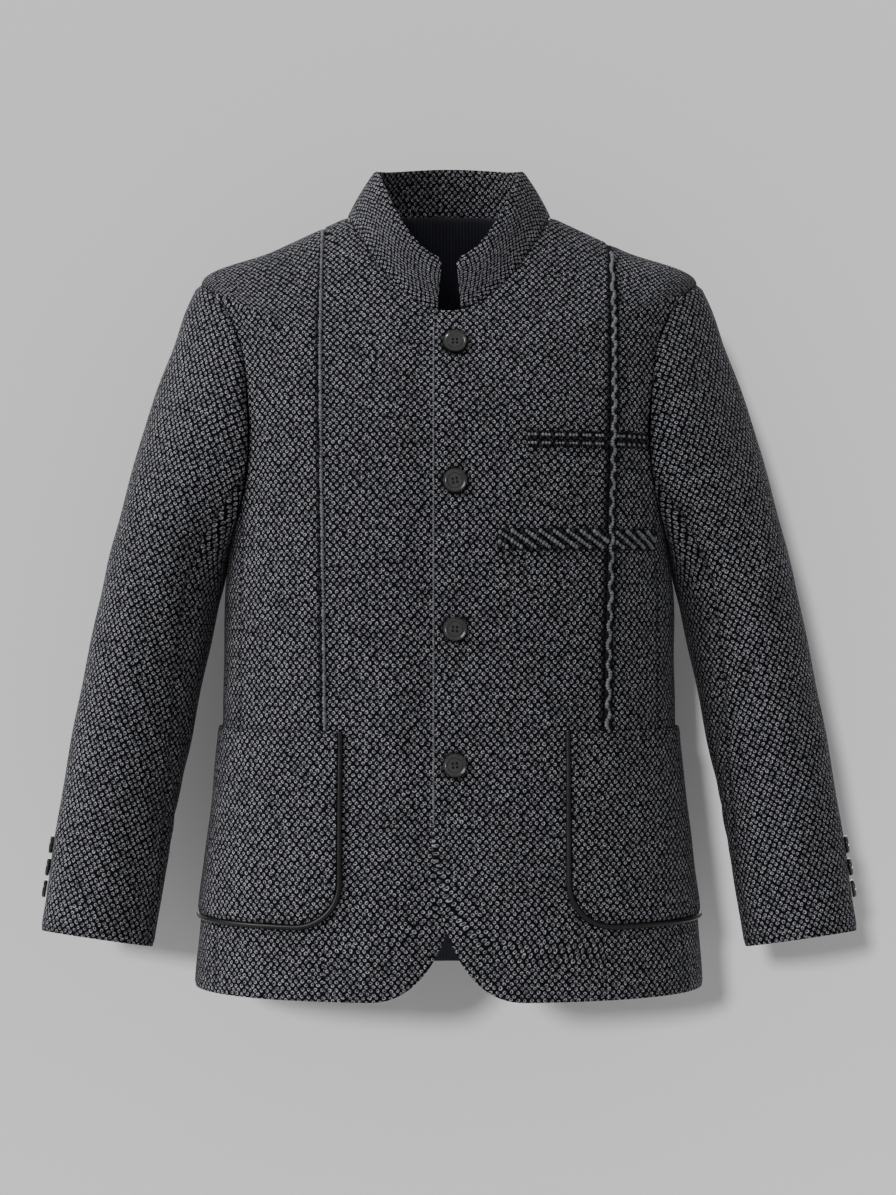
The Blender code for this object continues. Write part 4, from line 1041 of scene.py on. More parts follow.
# Way around, way down, to the same; width and depth, in metres
SLEEVE_CREASES = {
    "left": (
        (0.080, 0.190, 0.150, 0.235, 0.013, -0.0022), (0.060, 0.250, 0.165, 0.272, 0.011, -0.0026),
        (0.085, 0.305, 0.160, 0.300, 0.012, -0.0021), (0.050, 0.345, 0.140, 0.325, 0.014, -0.0014),
        (0.020, 0.090, 0.060, 0.180, 0.018, -0.0012), (0.110, 0.060, 0.125, 0.150, 0.012, -0.0021),
        (0.310, 0.120, 0.270, 0.210, 0.015, -0.0018), (0.300, 0.270, 0.240, 0.300, 0.014, 0.0013),
        (0.020, 0.420, 0.075, 0.400, 0.020, -0.0010), (0.060, 0.470, 0.110, 0.520, 0.018, -0.0009),
        (0.260, 0.400, 0.210, 0.470, 0.018, -0.0016),
    ),
    "right": (
        (0.075, 0.205, 0.150, 0.222, 0.012, -0.0020), (0.090, 0.262, 0.168, 0.285, 0.014, -0.0028),
        (0.060, 0.318, 0.150, 0.308, 0.010, -0.0019), (0.040, 0.150, 0.075, 0.205, 0.016, -0.0013),
        (0.110, 0.070, 0.130, 0.165, 0.013, -0.0024), (0.015, 0.300, 0.060, 0.345, 0.019, -0.0011),
        (0.300, 0.110, 0.255, 0.225, 0.014, -0.0020), (0.320, 0.290, 0.250, 0.310, 0.015, 0.0012),
        (0.050, 0.440, 0.120, 0.425, 0.017, -0.0012), (0.010, 0.500, 0.050, 0.540, 0.020, -0.0008),
        (0.250, 0.380, 0.200, 0.450, 0.020, -0.0015),
    ),
}


def sleeve_grid(hand, first, last):
    indexes = np.arange(first, last + 0.01, 0.25)
    parts = np.concatenate(([0.0, 0.006, 0.014, 0.024], np.linspace(0.04, 0.97, 26)))
    rows = sleeve_head(indexes, parts)
    for z in np.linspace(SLEEVE_TOP_Z, CUFF_Z, 50):
        twist = SLEEVE_TWIST * float(smoothstep(SLEEVE_TOP_Z - z, 0.0,
                                                (SLEEVE_TOP_Z - CUFF_Z) * 0.9))
        rows.append(sleeve_ring(z, TURN * indexes / RING_POINTS + twist))
    grid = np.array(rows)
    down = column_lengths(grid)
    around = ((indexes % RING_POINTS) / RING_POINTS * TURN * MEAN_RADIUS)[None, :]
    normals = grid_normals(grid)
    fade = smoothstep(down, 0.010, 0.060) * (1 - smoothstep(down, down[-1] - 0.05, down[-1]))
    rise = crease_depth(np.broadcast_to(around, down.shape), down, SLEEVE_CREASES[hand]) * fade
    turns = (TURN * indexes / RING_POINTS)[None, :]
    uneven = np.sin(down * 75 + 2 * turns) + np.sin(down * 43 - 3 * turns + 2.0)
    rise = rise + 0.0003 * uneven * fade
    swell = HEAD_SWELL * smoothstep(down, 0.0, 0.006) * (1 - smoothstep(down, 0.02, 0.07))
    return (grid + normals * (rise + swell)[..., None])[::-1], grid[::-1]


# %% Sleeve pieces
for hand in ("left", "right"):
    for name, (first, last) in SLEEVE_SPANS.items():
        outer, plain = (grid[:, ::-1] for grid in sleeve_grid(hand, first, last))
        if hand == "right":
            outer = mirrored(outer)[:, ::-1]
            plain = mirrored(plain)[:, ::-1]
        normals = grid_normals(outer)
        grain = ARM_GRAIN if hand == "left" else mirrored(ARM_GRAIN)
        # Painted shade: dark lines along both sleeve seams and a stronger dark line at the armhole
        shade = painted_line_shade(outer, first=(0.4, 0.0012), last=(0.4, 0.0012), ends=(0.0, 0.7))
        rolled = roll_edges(outer, normals, ends=(1, 0.0))
        reference = outer.shape[1] // 2
        cloth = cloth_map(plain, np.broadcast_to(grain, plain.shape),
                          (plain[0, reference, 0], plain[0, reference, 2]), reference)
        dress(name + "_" + hand, rolled,
              outer - normals * CLOTH, cloth, shade)

# %% [markdown]
# ## Collar and back lining
# The collar stands up from the neck seam in one curved band, tweed on both faces, and its front
# ends lean back so that a narrow gap stays open. A stiff band holds its own shape, so it is made
# from its foot and top lines, with a rounded top edge. Below it the lining shows, with a pleat down
# the middle that gives the shoulders room.

# %% Collar
COLLAR_CLOTH = 0.0030
COLLAR_BULGE = 0.0012
COLLAR_TOP_HALF_WIDTH = 0.0690
COLLAR_TOP_FRONT = (-0.076, -0.0500)
COLLAR_TOP_SIDE = (0.000, 0.0430)
COLLAR_TOP_BACK = (0.061, 0.0520)
COLLAR_END_LOW_X = 0.0110
COLLAR_END_TOP_X = 0.0062
COLLAR_COLUMNS = 181
COLLAR_PULL = 0.57
# How far the top edge is let down at its tips and above the shoulders, as shares of its height
TIP_DROP = 0.11
TIP_ROUNDING = 0.0035
SIDE_DROP = 0.065
SIDE_SPREAD = 0.16
BACK_RISE = 0.030


def collar_top(angle):
    across = np.sin(angle)
    along = np.cos(angle)
    front = along > 0
    end_y = np.where(front, COLLAR_TOP_FRONT[0], COLLAR_TOP_BACK[0])
    end_z = np.where(front, COLLAR_TOP_FRONT[1], COLLAR_TOP_BACK[1])
    side_y, side_z = COLLAR_TOP_SIDE
    return np.stack([COLLAR_TOP_HALF_WIDTH * across, side_y + (end_y - side_y) * np.abs(along),
                     side_z + (end_z - side_z) * along * along], axis=-1)


foot_end = float(angle_at_x(COLLAR_END_LOW_X, NECK_SEAM))
top_end = math.asin(COLLAR_END_TOP_X / COLLAR_TOP_HALF_WIDTH)
shares = ease(COLLAR_COLUMNS, COLLAR_PULL)
feet = foot_end + (TURN - 2 * foot_end) * shares
tops_of_feet = top_end + (TURN - 2 * top_end) * shares
foot = surface(feet, NECK_SEAM)
foot_normal = surface_normal(feet, NECK_SEAM)
tucked = np.where(feet > TURN - QUARTER, smoothstep(foot[:, 0], -TUCK_END_X, -TUCK_FULL_X), 0.0)
foot = foot - foot_normal * (tucked * TUCK_DEPTH)[:, None]
top = collar_top(tops_of_feet)
from_end = np.minimum(shares, 1 - shares) * float(arc_at(TURN, NECK_SEAM) - arc_at(0.0, NECK_SEAM))
low_top = 1 + BACK_RISE * (1 - np.cos(tops_of_feet)) / 2
low_top = low_top - TIP_DROP * np.exp(-(from_end / TIP_ROUNDING) ** 2)
low_top = low_top - SIDE_DROP * np.exp(-(np.cos(tops_of_feet) / SIDE_SPREAD) ** 2)
lean = unit(np.cross(surface(feet + 0.01, NECK_SEAM) - surface(feet - 0.01, NECK_SEAM), top - foot))
rows = []
for part in np.concatenate(([0.0, 0.02, 0.05], np.linspace(0.1, 0.9, 12), [0.95, 0.98, 1.0])):
    bulge = lean * COLLAR_BULGE * math.sin(math.pi * part)
    rows.append(foot + unit(top - foot) * SLEEVE_GAP + (top - foot) * (part * low_top)[:, None] + bulge)
outer = np.array(rows)
normals = grid_normals(outer)
rolled = roll_edges(outer, normals, depth=0.0010, width=0.0018, ends=(0.25, 1))
inner = roll_edges(outer - normals * COLLAR_CLOTH, -normals, depth=0.0009, width=0.0018, ends=(0, 1))
# Painted shade: a dark line along the collar's foot
shade = painted_line_shade(outer, ends=(0.3, 0.0))
middle = outer.shape[1] // 2
cloth = cloth_map(outer, np.broadcast_to([0.0, 0.0, 1.0], outer.shape), (0.0, 0.0), middle)
dress("collar", rolled, inner, cloth, shade,
      (WOOL_TWEED, WOOL_TWEED))

# %% Back lining
LINING_LIFT = CLOTH + 0.0008
LINING_CLOTH = 0.0010
PLEAT_X = 0.0045
PLEAT_DEPTH = 0.0022
SEAM_COVER = 0.0020
LINING_INSET = 0.012
LINING_COLUMNS = 120
levels = np.append(LEVELS[(LEVELS > ARMHOLE_LOW + 0.022) & (LEVELS < NECK_SEAM - 0.006)],
                   (NECK_SEAM - 0.004, NECK_SEAM - 0.0002))
rows = []
for level in levels:
    start = arc_at(side_angle(level, 1), level) + LINING_INSET
    end = arc_at(TURN - side_angle(level, 1), level) - LINING_INSET
    rows.append(angle_at(np.linspace(start, end, LINING_COLUMNS + 1), level))
angles = np.array(rows)
outer = skin(angles, levels[:, None], -LINING_LIFT)
fold = smoothstep(outer[..., 0], PLEAT_X - 0.0006, PLEAT_X + 0.0006) * PLEAT_DEPTH
fold = fold * (1 - smoothstep(outer[..., 0], PLEAT_X + 0.004, PLEAT_X + 0.034))
normals = grid_normals(outer)
outer = outer - normals * fold[..., None]
outer = np.concatenate((outer, outer[-1:] + np.array([0.0, 0.0, SEAM_COVER])))
normals = np.concatenate((normals, normals[-1:]))
cloth = cloth_map(outer, torso_grain(outer), (0.0, 0.0), LINING_COLUMNS // 2)
dress("back_lining", outer, outer - normals * LINING_CLOTH, cloth,
      np.zeros(outer.shape[:2]), (LINING, LINING))

# %% [markdown]
# ## Patch pockets and their piping
# The pockets are flat pieces laid on the fronts and round the sides, with the same weave and their
# lower corners rounded. A satin-covered cord is sewn into their edge. Lifting the garment surface
# by the thickness of the cloth keeps a pocket on its panel all the way round.

# %% Pocket outline
POCKET_BOTTOM = -0.6560
POCKET_FRONT_X = {"left": 0.1040, "right": 0.0950}
POCKET_BACK_ANGLE = QUARTER + 0.34
POCKET_CORNER = 0.042
POCKET_GAP = 0.0010
BINDING_WIDTH = 0.0050
BINDING_THICK = 0.0034
BINDING_CLEAR = 0.0003
CORNER_STEPS = 14
BOTTOM_STEPS = 42


def pocket_place(hand, across, up):
    """Ring angle and height of a pocket point: across and up run from 0 to 1."""
    height = float(height_at_z(QUARTER, POCKET_BOTTOM + (POCKET_TOP - POCKET_BOTTOM) * up))
    start = arc_at_x(POCKET_FRONT_X[hand], height)
    end = arc_at(POCKET_BACK_ANGLE, height)
    return float(angle_at(start + (end - start) * across, height)), height


def pocket_size(hand):
    height = float(height_at_z(QUARTER, (POCKET_TOP + POCKET_BOTTOM) / 2))
    start = arc_at_x(POCKET_FRONT_X[hand], height)
    return arc_at(POCKET_BACK_ANGLE, height) - start, POCKET_TOP - POCKET_BOTTOM


def pocket_outline(hand, inset, straight_steps):
    """The edge from the front top corner, round the bottom, to the back top corner."""
    wide, tall = pocket_size(hand)
    corner = POCKET_CORNER - inset
    side = [(inset, tall + (POCKET_CORNER - tall) * i / straight_steps)
            for i in range(straight_steps)]
    turns = QUARTER * np.linspace(0, 1, CORNER_STEPS + 1)
    round_end = [(POCKET_CORNER - corner * math.cos(t), POCKET_CORNER - corner * math.sin(t))
                 for t in turns]
    reach = wide - 2 * POCKET_CORNER
    middle = [(POCKET_CORNER + reach * i / BOTTOM_STEPS, inset) for i in range(1, BOTTOM_STEPS)]
    half = side + round_end
    other = [(wide - across, up) for across, up in reversed(half)]
    return [(across / wide, up / tall) for across, up in half + middle + other]


print("pocket", [round(float(v), 3) for v in pocket_size("left")], "m")

# %% Pockets
POCKET_ROWS = 34
POCKET_LIFT = {"left": 0.0006, "right": 0.0009}
for hand in ("left", "right"):
    low_edge = pocket_outline(hand, BINDING_WIDTH + BINDING_CLEAR, 1)[1:-1]
    angles = np.zeros((POCKET_ROWS + 1, len(low_edge)))
    heights = np.zeros_like(angles)
    for row in range(POCKET_ROWS + 1):
        for column, (across, up) in enumerate(low_edge):
            place = pocket_place(hand, across, up + (1 - up) * row / POCKET_ROWS)
            angles[row, column], heights[row, column] = place
    outer = skin(angles, heights, POCKET_GAP + CLOTH, hand)
    share = np.linspace(0, 1, outer.shape[1])[None, :]
    mouth = np.exp(-(column_lengths(outer)[-1:] - column_lengths(outer)) / 0.03)
    swell = mouth * np.sin(math.pi * share) * POCKET_LIFT[hand]
    outer = outer + grid_normals(outer) * swell[..., None]
    if hand == "right":
        outer = mirrored(outer)[:, ::-1]
    normals = grid_normals(outer)
    # Painted shade along the pocket's piped edge and, more weakly, along its mouth
    shade = painted_line_shade(outer, ends=(0.45, 0.25))
    rolled = roll_edges(outer, normals, depth=0.0009, width=0.0020)
    around = np.array([[arc_at(a, h) for a, h in zip(*row)] for row in zip(angles, heights)])
    facing = 1 if hand == "left" else -1
    cloth = np.stack([facing * around[:, ::facing], outer[..., 2]], axis=-1)
    dress("pocket_" + hand, rolled,
          outer - normals * CLOTH, cloth, shade)

# %% Piping


def make_strip(name, first, second, section, thick, lift, finish, hand="left"):
    """A strip between two lines of places; section gives across and up shares."""
    rows = []
    for across, up in section:
        angle = first[:, 0] + (second[:, 0] - first[:, 0]) * across
        height = first[:, 1] + (second[:, 1] - first[:, 1]) * across
        rows.append(skin(angle, height, lift + thick * up, hand))
    grid = np.array(rows)
    if hand == "right":
        grid = mirrored(grid)
    count = grid.shape[1]
    around = len(section)
    build = bmesh.new()
    verts = [[build.verts.new(grid[i, j]) for j in range(count)] for i in range(around)]
    for i in range(around):
        after = (i + 1) % around
        for j in range(count - 1):
            build.faces.new([verts[i][j], verts[i][j + 1], verts[after][j + 1], verts[after][j]])
    build.faces.new([verts[i][0] for i in range(around)])
    build.faces.new([verts[i][-1] for i in reversed(range(around))])
    face_outwards(build)
    mesh = finished_mesh(build, name)
    mesh.materials.append(finish)
    mesh.shade_smooth()
    mesh.set_sharp_from_angle(angle=math.radians(60))
    return add_object(name, mesh)


def stand_for(piece, node):
    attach(piece, "root")
    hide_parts(node)


PIPING_TURNS = np.linspace(-0.18, math.pi + 0.18, 9)
PIPING_SECTION = [(0.5 - 0.5 * math.cos(t) * 0.98, max(0.0, math.sin(t))) for t in PIPING_TURNS]
for hand in ("left", "right"):
    edge = np.array([pocket_place(hand, *point) for point in pocket_outline(hand, 0.0, 20)])
    inside = np.array([pocket_place(hand, *point)
                       for point in pocket_outline(hand, BINDING_WIDTH, 20)])
    piping = make_strip("pocket_piping_" + hand + "_satin", edge, inside, PIPING_SECTION,
                        BINDING_THICK, POCKET_GAP, SATIN, hand)
    stand_for(piping, "pocket_piping_" + hand)
print("piping points", len(edge))

# %% [markdown]
# ## Yarn that follows a line
# The trim is heavy yarn laid on the cloth: a chain down the wearer's left seam, dashes and slanting
# strokes on two dark bands, a plain cord down the other seam and a finer one along the front edge.
# Each is a row of short fibres' turns along a path, which is just what Geometry Nodes is good at:
# one tree walks any path in even steps and sets down a turn of yarn at each, leaned over by the
# twist and a little uneven.

# %% Yarn tree


def yarn_tree():
    tree = bpy.data.node_groups.new("twisted_yarn", "GeometryNodeTree")
    sockets = (("Path", "Geometry"), ("Step", "Float"), ("Turn Length", "Float"),
               ("Thickness", "Float"), ("Twist Angle", "Float"), ("Unevenness", "Float"),
               ("Seed", "Int"), ("Yarn", "Material"))
    for name, kind in sockets:
        tree.interface.new_socket(name, in_out="INPUT", socket_type="NodeSocket" + kind)
    tree.interface.new_socket("Yarn Turns", in_out="OUTPUT", socket_type="NodeSocketGeometry")
    given = add_node(tree, "NodeGroupInput").outputs
    path = add_node(tree, "GeometryNodeMeshToCurve", {"Mesh": given["Path"]})
    even = add_node(tree, "GeometryNodeResampleCurve",
                    {"Curve": path, "Length": given["Step"]}, mode="LENGTH")
    up = add_node(tree, "GeometryNodeInputNamedAttribute", {"Name": "up"},
                  data_type="FLOAT_VECTOR")
    along = add_node(tree, "GeometryNodeInputTangent")
    facing = add_node(tree, "FunctionNodeAxesToRotation",
                      {"Primary Axis": up.outputs["Attribute"],
                       "Secondary Axis": along},
                      primary_axis="Z", secondary_axis="X")
    lean = add_node(tree, "FunctionNodeAxisAngleToRotation",
                    {"Axis": (0.0, 0.0, 1.0), "Angle": given["Twist Angle"]})
    turned = add_node(tree, "FunctionNodeRotateRotation",
                      {"Rotation": facing, "Rotate By": lean},
                      rotation_space="LOCAL")
    low = add_node(tree, "ShaderNodeMath", {0: 1.0, 1: given["Unevenness"]}, operation="SUBTRACT")
    high = add_node(tree, "ShaderNodeMath", {0: 1.0, 1: given["Unevenness"]})
    chance = add_node(tree, "FunctionNodeRandomValue", {2: low, 3: high, "Seed": given["Seed"]},
                      data_type="FLOAT")
    size = add_node(tree, "ShaderNodeCombineXYZ",
                    {"X": given["Turn Length"], "Y": given["Thickness"], "Z": given["Thickness"]})
    uneven = add_node(tree, "ShaderNodeVectorMath",
                      {0: size, "Scale": chance.outputs[1]}, operation="SCALE")
    strand = add_node(tree, "GeometryNodeMeshUVSphere",
                      {"Segments": 8, "Rings": 5, "Radius": 0.5})
    placed = add_node(tree, "GeometryNodeInstanceOnPoints",
                      {"Points": even, "Instance": strand,
                       "Rotation": turned, "Scale": uneven})
    real = add_node(tree, "GeometryNodeRealizeInstances", {"Geometry": placed})
    smooth = add_node(tree, "GeometryNodeSetShadeSmooth", {"Geometry": real})
    coloured = add_node(tree, "GeometryNodeSetMaterial",
                        {"Geometry": smooth, "Material": given["Yarn"]})
    add_node(tree, "NodeGroupOutput", {0: coloured})
    return tree


YARN_TREE = yarn_tree()


def lay_yarn(name, lines, seed, yarn, step, length, thickness, twist, unevenness):
    """Yarn along lines of (points, normals); the result is one plain mesh."""
    points = np.concatenate([line[0] for line in lines])
    normals = np.concatenate([line[1] for line in lines])
    edges = []
    start = 0
    for line in lines:
        edges += [(start + i, start + i + 1) for i in range(len(line[0]) - 1)]
        start += len(line[0])
    mesh = bpy.data.meshes.new(name + "_path")
    mesh.from_pydata(points.tolist(), edges, [])
    mesh.attributes.new("up", "FLOAT_VECTOR", "POINT").data.foreach_set(
        "vector", normals.astype(np.float32).reshape(-1))
    made = add_object(name, mesh)
    nodes = made.modifiers.new("yarn", "NODES")
    nodes.node_group = YARN_TREE
    values = {"Step": step, "Turn Length": length, "Thickness": thickness,
              "Twist Angle": math.radians(twist), "Unevenness": unevenness, "Seed": seed,
              "Yarn": yarn}
    for socket in YARN_TREE.interface.items_tree:
        if socket.in_out == "INPUT" and socket.name in values:
            nodes[socket.identifier] = values[socket.name]
    graph = bpy.context.evaluated_depsgraph_get()
    plain = bpy.data.meshes.new_from_object(made.evaluated_get(graph))
    made.modifiers.remove(nodes)
    made.data = plain
    bpy.data.meshes.remove(mesh)
    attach(made, "root")
    print(name, "turns", len(plain.polygons) // 40)
    return made


def line_on_cloth(angles, heights, lift, hand="left", tucked=False):
    points = skin(angles, heights, lift, hand, tucked)
    normals = surface_normal(angles, heights)
    if hand == "right":
        return mirrored(points), mirrored(normals)
    return points, normals


# %% Braid and seam cord
BRAID_WIDTH = 0.0056
BRAID_THICK = 0.0016
TRIM_GAP = 0.0008
BRAID_TOP_DROP = 0.0050
BRAID_WAVE = 0.0178
BRAID_SWING = 0.0014
BRAID_YARN = 0.0034
SEAM_POINTS = 420


def seam_line(hand, bottom, top, shift):
    """Angles and heights down a lengthwise seam; shift moves each point sideways."""
    heights = np.linspace(top, bottom, SEAM_POINTS)
    angles = [float(angle_at(arc_at(seam_angle(h, hand), h) + s, h))
              for h, s in zip(heights, np.broadcast_to(shift, heights.shape))]
    return np.array(angles), heights


bottom = float(height_at_z(seam_angle(0.25, "left"), POCKET_TOP + 0.0005))
top = SEAM_TOP["left"] - BRAID_TOP_DROP
edges = [np.stack(seam_line("left", bottom, top, side * BRAID_WIDTH / 2), axis=1)
         for side in (-1, 1)]
section = [(0.0, 0.0), (0.0, 0.6), (0.15, 0.75), (0.5, 0.8), (0.85, 0.75), (1.0, 0.6), (1.0, 0.0)]
braid = make_strip("braid_strip_ground", edges[0], edges[1], section, BRAID_THICK, TRIM_GAP,
                   CHANNEL)
way = np.linspace(0, 1, SEAM_POINTS) * (top - bottom)
swing = np.tanh(2.2 * np.sin(TURN * way / BRAID_WAVE)) * BRAID_SWING
chain = line_on_cloth(*seam_line("left", bottom, top - 0.006, swing), TRIM_GAP + 0.0016)
braid_yarn = lay_yarn("braid_chain_yarn", [chain], 3, TRIM_YARN, step=0.0026, length=0.0034,
                      thickness=BRAID_YARN, twist=34, unevenness=0.25)
stand_for(braid, "braid_strip")

CORD_SIDE = -0.0012
low = float(height_at_z(seam_angle(0.25, "right"), POCKET_TOP + 0.002))
cord = line_on_cloth(*seam_line("right", low, SEAM_TOP["right"] - 0.003, CORD_SIDE), 0.0007, "right")
cord_yarn = lay_yarn("seam_cord_yarn", [cord], 5, EDGE_YARN, step=0.0034, length=0.0046,
                     thickness=0.0031, twist=27, unevenness=0.30)

# %% [markdown]
# ## Chest bands
# Two dark woven bands cross the wearer's left chest and stop at the braid. The upper one carries
# two rows of dashes and the lower one slanting strokes. They could be drawn in the material, but
# the yarn stands up from the band, so each band is a small panel with yarn laid on it.

# %% Bands and their yarn
BAND_THICK = 0.0010
BANDS = {"upper": (-0.2089, -0.2237, 0.0702), "lower": (-0.2963, -0.3160, 0.0427)}
BAND_END_INSET = 0.0030
BAND_ROWS = 9
BAND_COLUMNS = 26
DASH_PITCH = 0.0125
DASH_LENGTH = 0.0058
DASH_ROWS = (0.27, 0.77)
STROKE_PITCH = 0.0127
STROKE_SLOPE = math.radians(35)
STROKE_ROWS = (0.14, 0.86)
YARN_RISE = 0.0006
BAND_TURNS = {"upper": (0.0026, 0.0029), "lower": (0.0033, 0.0041)}


def band_span(name, part, z):
    """Ring height and the ways along it where one half of a band starts and ends."""
    start_x = BANDS[name][2]
    height = float(height_at_z(QUARTER * 0.6, z))
    seam = arc_at(seam_angle(height, "left"), height)
    clear = BRAID_WIDTH / 2 + 0.0004
    if part == "inner":
        return height, arc_at_x(start_x, height), seam - clear
    return height, seam + clear, arc_at(side_angle(height, -1), height) - BAND_END_INSET


def band_places(name, part, across, up):
    """Angles and heights on a band; across is in metres from its start, up a share."""
    top_z, low_z, _ = BANDS[name]
    angles = []
    heights = []
    for way, share in zip(across, up):
        z = low_z + (top_z - low_z) * share
        guess, start, _ = band_span(name, part, z)
        angle = float(angle_at(start + way, guess))
        angles.append(angle)
        heights.append(float(height_at_z(angle, z)))
    return np.array(angles), np.array(heights)


def band_length(name, part):
    top_z, low_z, _ = BANDS[name]
    _, start, end = band_span(name, part, (top_z + low_z) / 2)
    return end - start


def dash_lines(name, part):
    whole = band_length(name, part)
    lines = []
    for row in DASH_ROWS:
        for begin in np.arange(0.0012, whole - DASH_LENGTH * 0.6, DASH_PITCH):
            across = np.linspace(begin, min(begin + DASH_LENGTH, whole - 0.0008), 4)
            places = band_places(name, part, across, np.full(4, 1 - row))
            lines.append(line_on_cloth(*places, TRIM_GAP + BAND_THICK + YARN_RISE))
    return lines


def stroke_lines(name, part):
    """Strokes that fall towards the side, cut off at both ends of the band."""
    whole = band_length(name, part)
    tall = BANDS[name][0] - BANDS[name][1]
    reach = tall * (STROKE_ROWS[1] - STROKE_ROWS[0]) / math.tan(STROKE_SLOPE)
    lines = []
    for begin in np.arange(0.001 - 2 * STROKE_PITCH, whole, STROKE_PITCH):
        share = np.linspace(0, 1, 14)
        across = begin + reach * share
        rows = STROKE_ROWS[1] - (STROKE_ROWS[1] - STROKE_ROWS[0]) * share
        kept = (across > 0.0014) & (across < whole - 0.0014)
        if kept.sum() > 3:
            places = band_places(name, part, across[kept], rows[kept])
            lines.append(line_on_cloth(*places, TRIM_GAP + BAND_THICK + YARN_RISE))
    return lines


for seed, (name, (top_z, low_z, _)) in enumerate(BANDS.items()):
    for part in ("inner", "outer"):
        grid = []
        for share in np.linspace(0, 1, BAND_ROWS):
            span = band_span(name, part, low_z + (top_z - low_z) * share)
            across = np.linspace(0, span[2] - span[1], BAND_COLUMNS)
            places = band_places(name, part, across, np.full(BAND_COLUMNS, share))
            grid.append(skin(*places, TRIM_GAP + BAND_THICK))
        outer = np.array(grid)
        normals = grid_normals(outer)
        cloth = cloth_map(outer, torso_grain(outer), (outer[0, 0, 0], outer[0, 0, 2]), 0)
        rolled = roll_edges(outer, normals, depth=0.0006, width=0.0012)
        node = "chest_band_" + name + "_" + part
        dress(node, rolled, outer - normals * BAND_THICK, cloth,
              np.zeros(outer.shape[:2]), (DARK_GROUND, DARK_GROUND))
        lines = dash_lines(name, part) if name == "upper" else stroke_lines(name, part)
        length, thickness = BAND_TURNS[name]
        yarn = lay_yarn(node + "_yarn", lines, 11 + seed, TRIM_YARN, step=0.0029, length=length,
                        thickness=thickness, twist=32, unevenness=0.22)

# %% Front edge yarn
EDGE_INSET = 0.0012
EDGE_SINK = -0.0002
EDGE_TOP = 0.76


def edge_line(heights):
    angles = [float(angle_at(arc_at_x(edge_start_x(h, "left"), h) + EDGE_INSET, h)) for h in heights]
    return line_on_cloth(np.array(angles), heights, EDGE_SINK)


corner_rise = front_columns("left")[1][0]
fade = np.linspace(CUTAWAY_FADE, 0.0, 90)
lines = [edge_line(np.linspace(EDGE_TOP, CUTAWAY_FADE, 260)),
         edge_line(corner_rise + fade * (CUTAWAY_FADE - corner_rise) / CUTAWAY_FADE)]
edge_yarn = lay_yarn("front_edge_yarn", lines, 21, EDGE_YARN, step=0.0024, length=0.0034,
                     thickness=0.0015, twist=26, unevenness=0.25)

# %% [markdown]
# ## Buttons
# The buttons are turned from dark horn-like polyester: a dished face, a fine groove, a raised rim
# and four holes with thread. A lathe profile makes the body, as the factory does, and the holes are
# cut through it with a Boolean, so light really falls into them.

# %% One button
BUTTON_STEPS = 72
HOLE_PLACE = 0.17
HOLE_RADIUS = 0.10
# Radius and height, as shares of the button's radius and thickness, from the face to the back
BUTTON_PROFILE = ((0.0, 0.58), (0.52, 0.60), (0.60, 0.62), (0.625, 0.53), (0.655, 0.62),
                  (0.78, 0.66), (0.84, 0.76), (0.885, 0.93), (0.915, 1.0), (0.94, 0.99),
                  (0.975, 0.87), (1.0, 0.62), (1.0, 0.36), (0.95, 0.16), (0.86, 0.0), (0.0, 0.0))


def turned_button():
    """A button of radius 1 and thickness 1, with its four holes."""
    build = bmesh.new()
    line = [build.verts.new((r, 0.0, up)) for r, up in BUTTON_PROFILE]
    edges = [build.edges.new((a, b)) for a, b in zip(line, line[1:])]
    bmesh.ops.spin(build, geom=line + edges, cent=(0, 0, 0), axis=(0, 0, 1),
                   angle=TURN, steps=BUTTON_STEPS, use_duplicate=False)
    bmesh.ops.remove_doubles(build, verts=build.verts, dist=0.0005)
    face_outwards(build)
    blank = add_object("button_blank", finished_mesh(build, "button_blank"))
    drills = bmesh.new()
    for x in (-HOLE_PLACE, HOLE_PLACE):
        for y in (-HOLE_PLACE, HOLE_PLACE):
            bmesh.ops.create_cone(drills, cap_ends=True, segments=20, radius1=HOLE_RADIUS,
                                  radius2=HOLE_RADIUS, depth=3.0,
                                  matrix=Matrix.Translation((x, y, 0.5)))
    drill = add_object("button_drills", finished_mesh(drills, "button_drills"))
    cut = blank.modifiers.new("holes", "BOOLEAN")
    cut.operation = "DIFFERENCE"
    cut.object = drill
    graph = bpy.context.evaluated_depsgraph_get()
    cut_mesh = bpy.data.meshes.new_from_object(blank.evaluated_get(graph))
    bpy.data.objects.remove(blank)
    bpy.data.objects.remove(drill)
    cut_mesh.materials.clear()
    cut_mesh.materials.append(HORN)
    cut_mesh.shade_smooth()
    cut_mesh.set_sharp_from_angle(angle=math.radians(35))
    return cut_mesh


BUTTON_MESH = turned_button()
print("button faces", len(BUTTON_MESH.polygons))

# %% Set the buttons
CUFF_BUTTON = (0.0083, 0.0034)
CUFF_BUTTON_Z = (-0.5865, -0.6072, -0.6269)
CUFF_BUTTON_TURN = math.radians(3)
CUFF_BUTTON_RISE = 0.19
LAID_ON_GAP = 0.0004
THREAD_LENGTH = 0.52
THREAD_WIDTH = 0.034


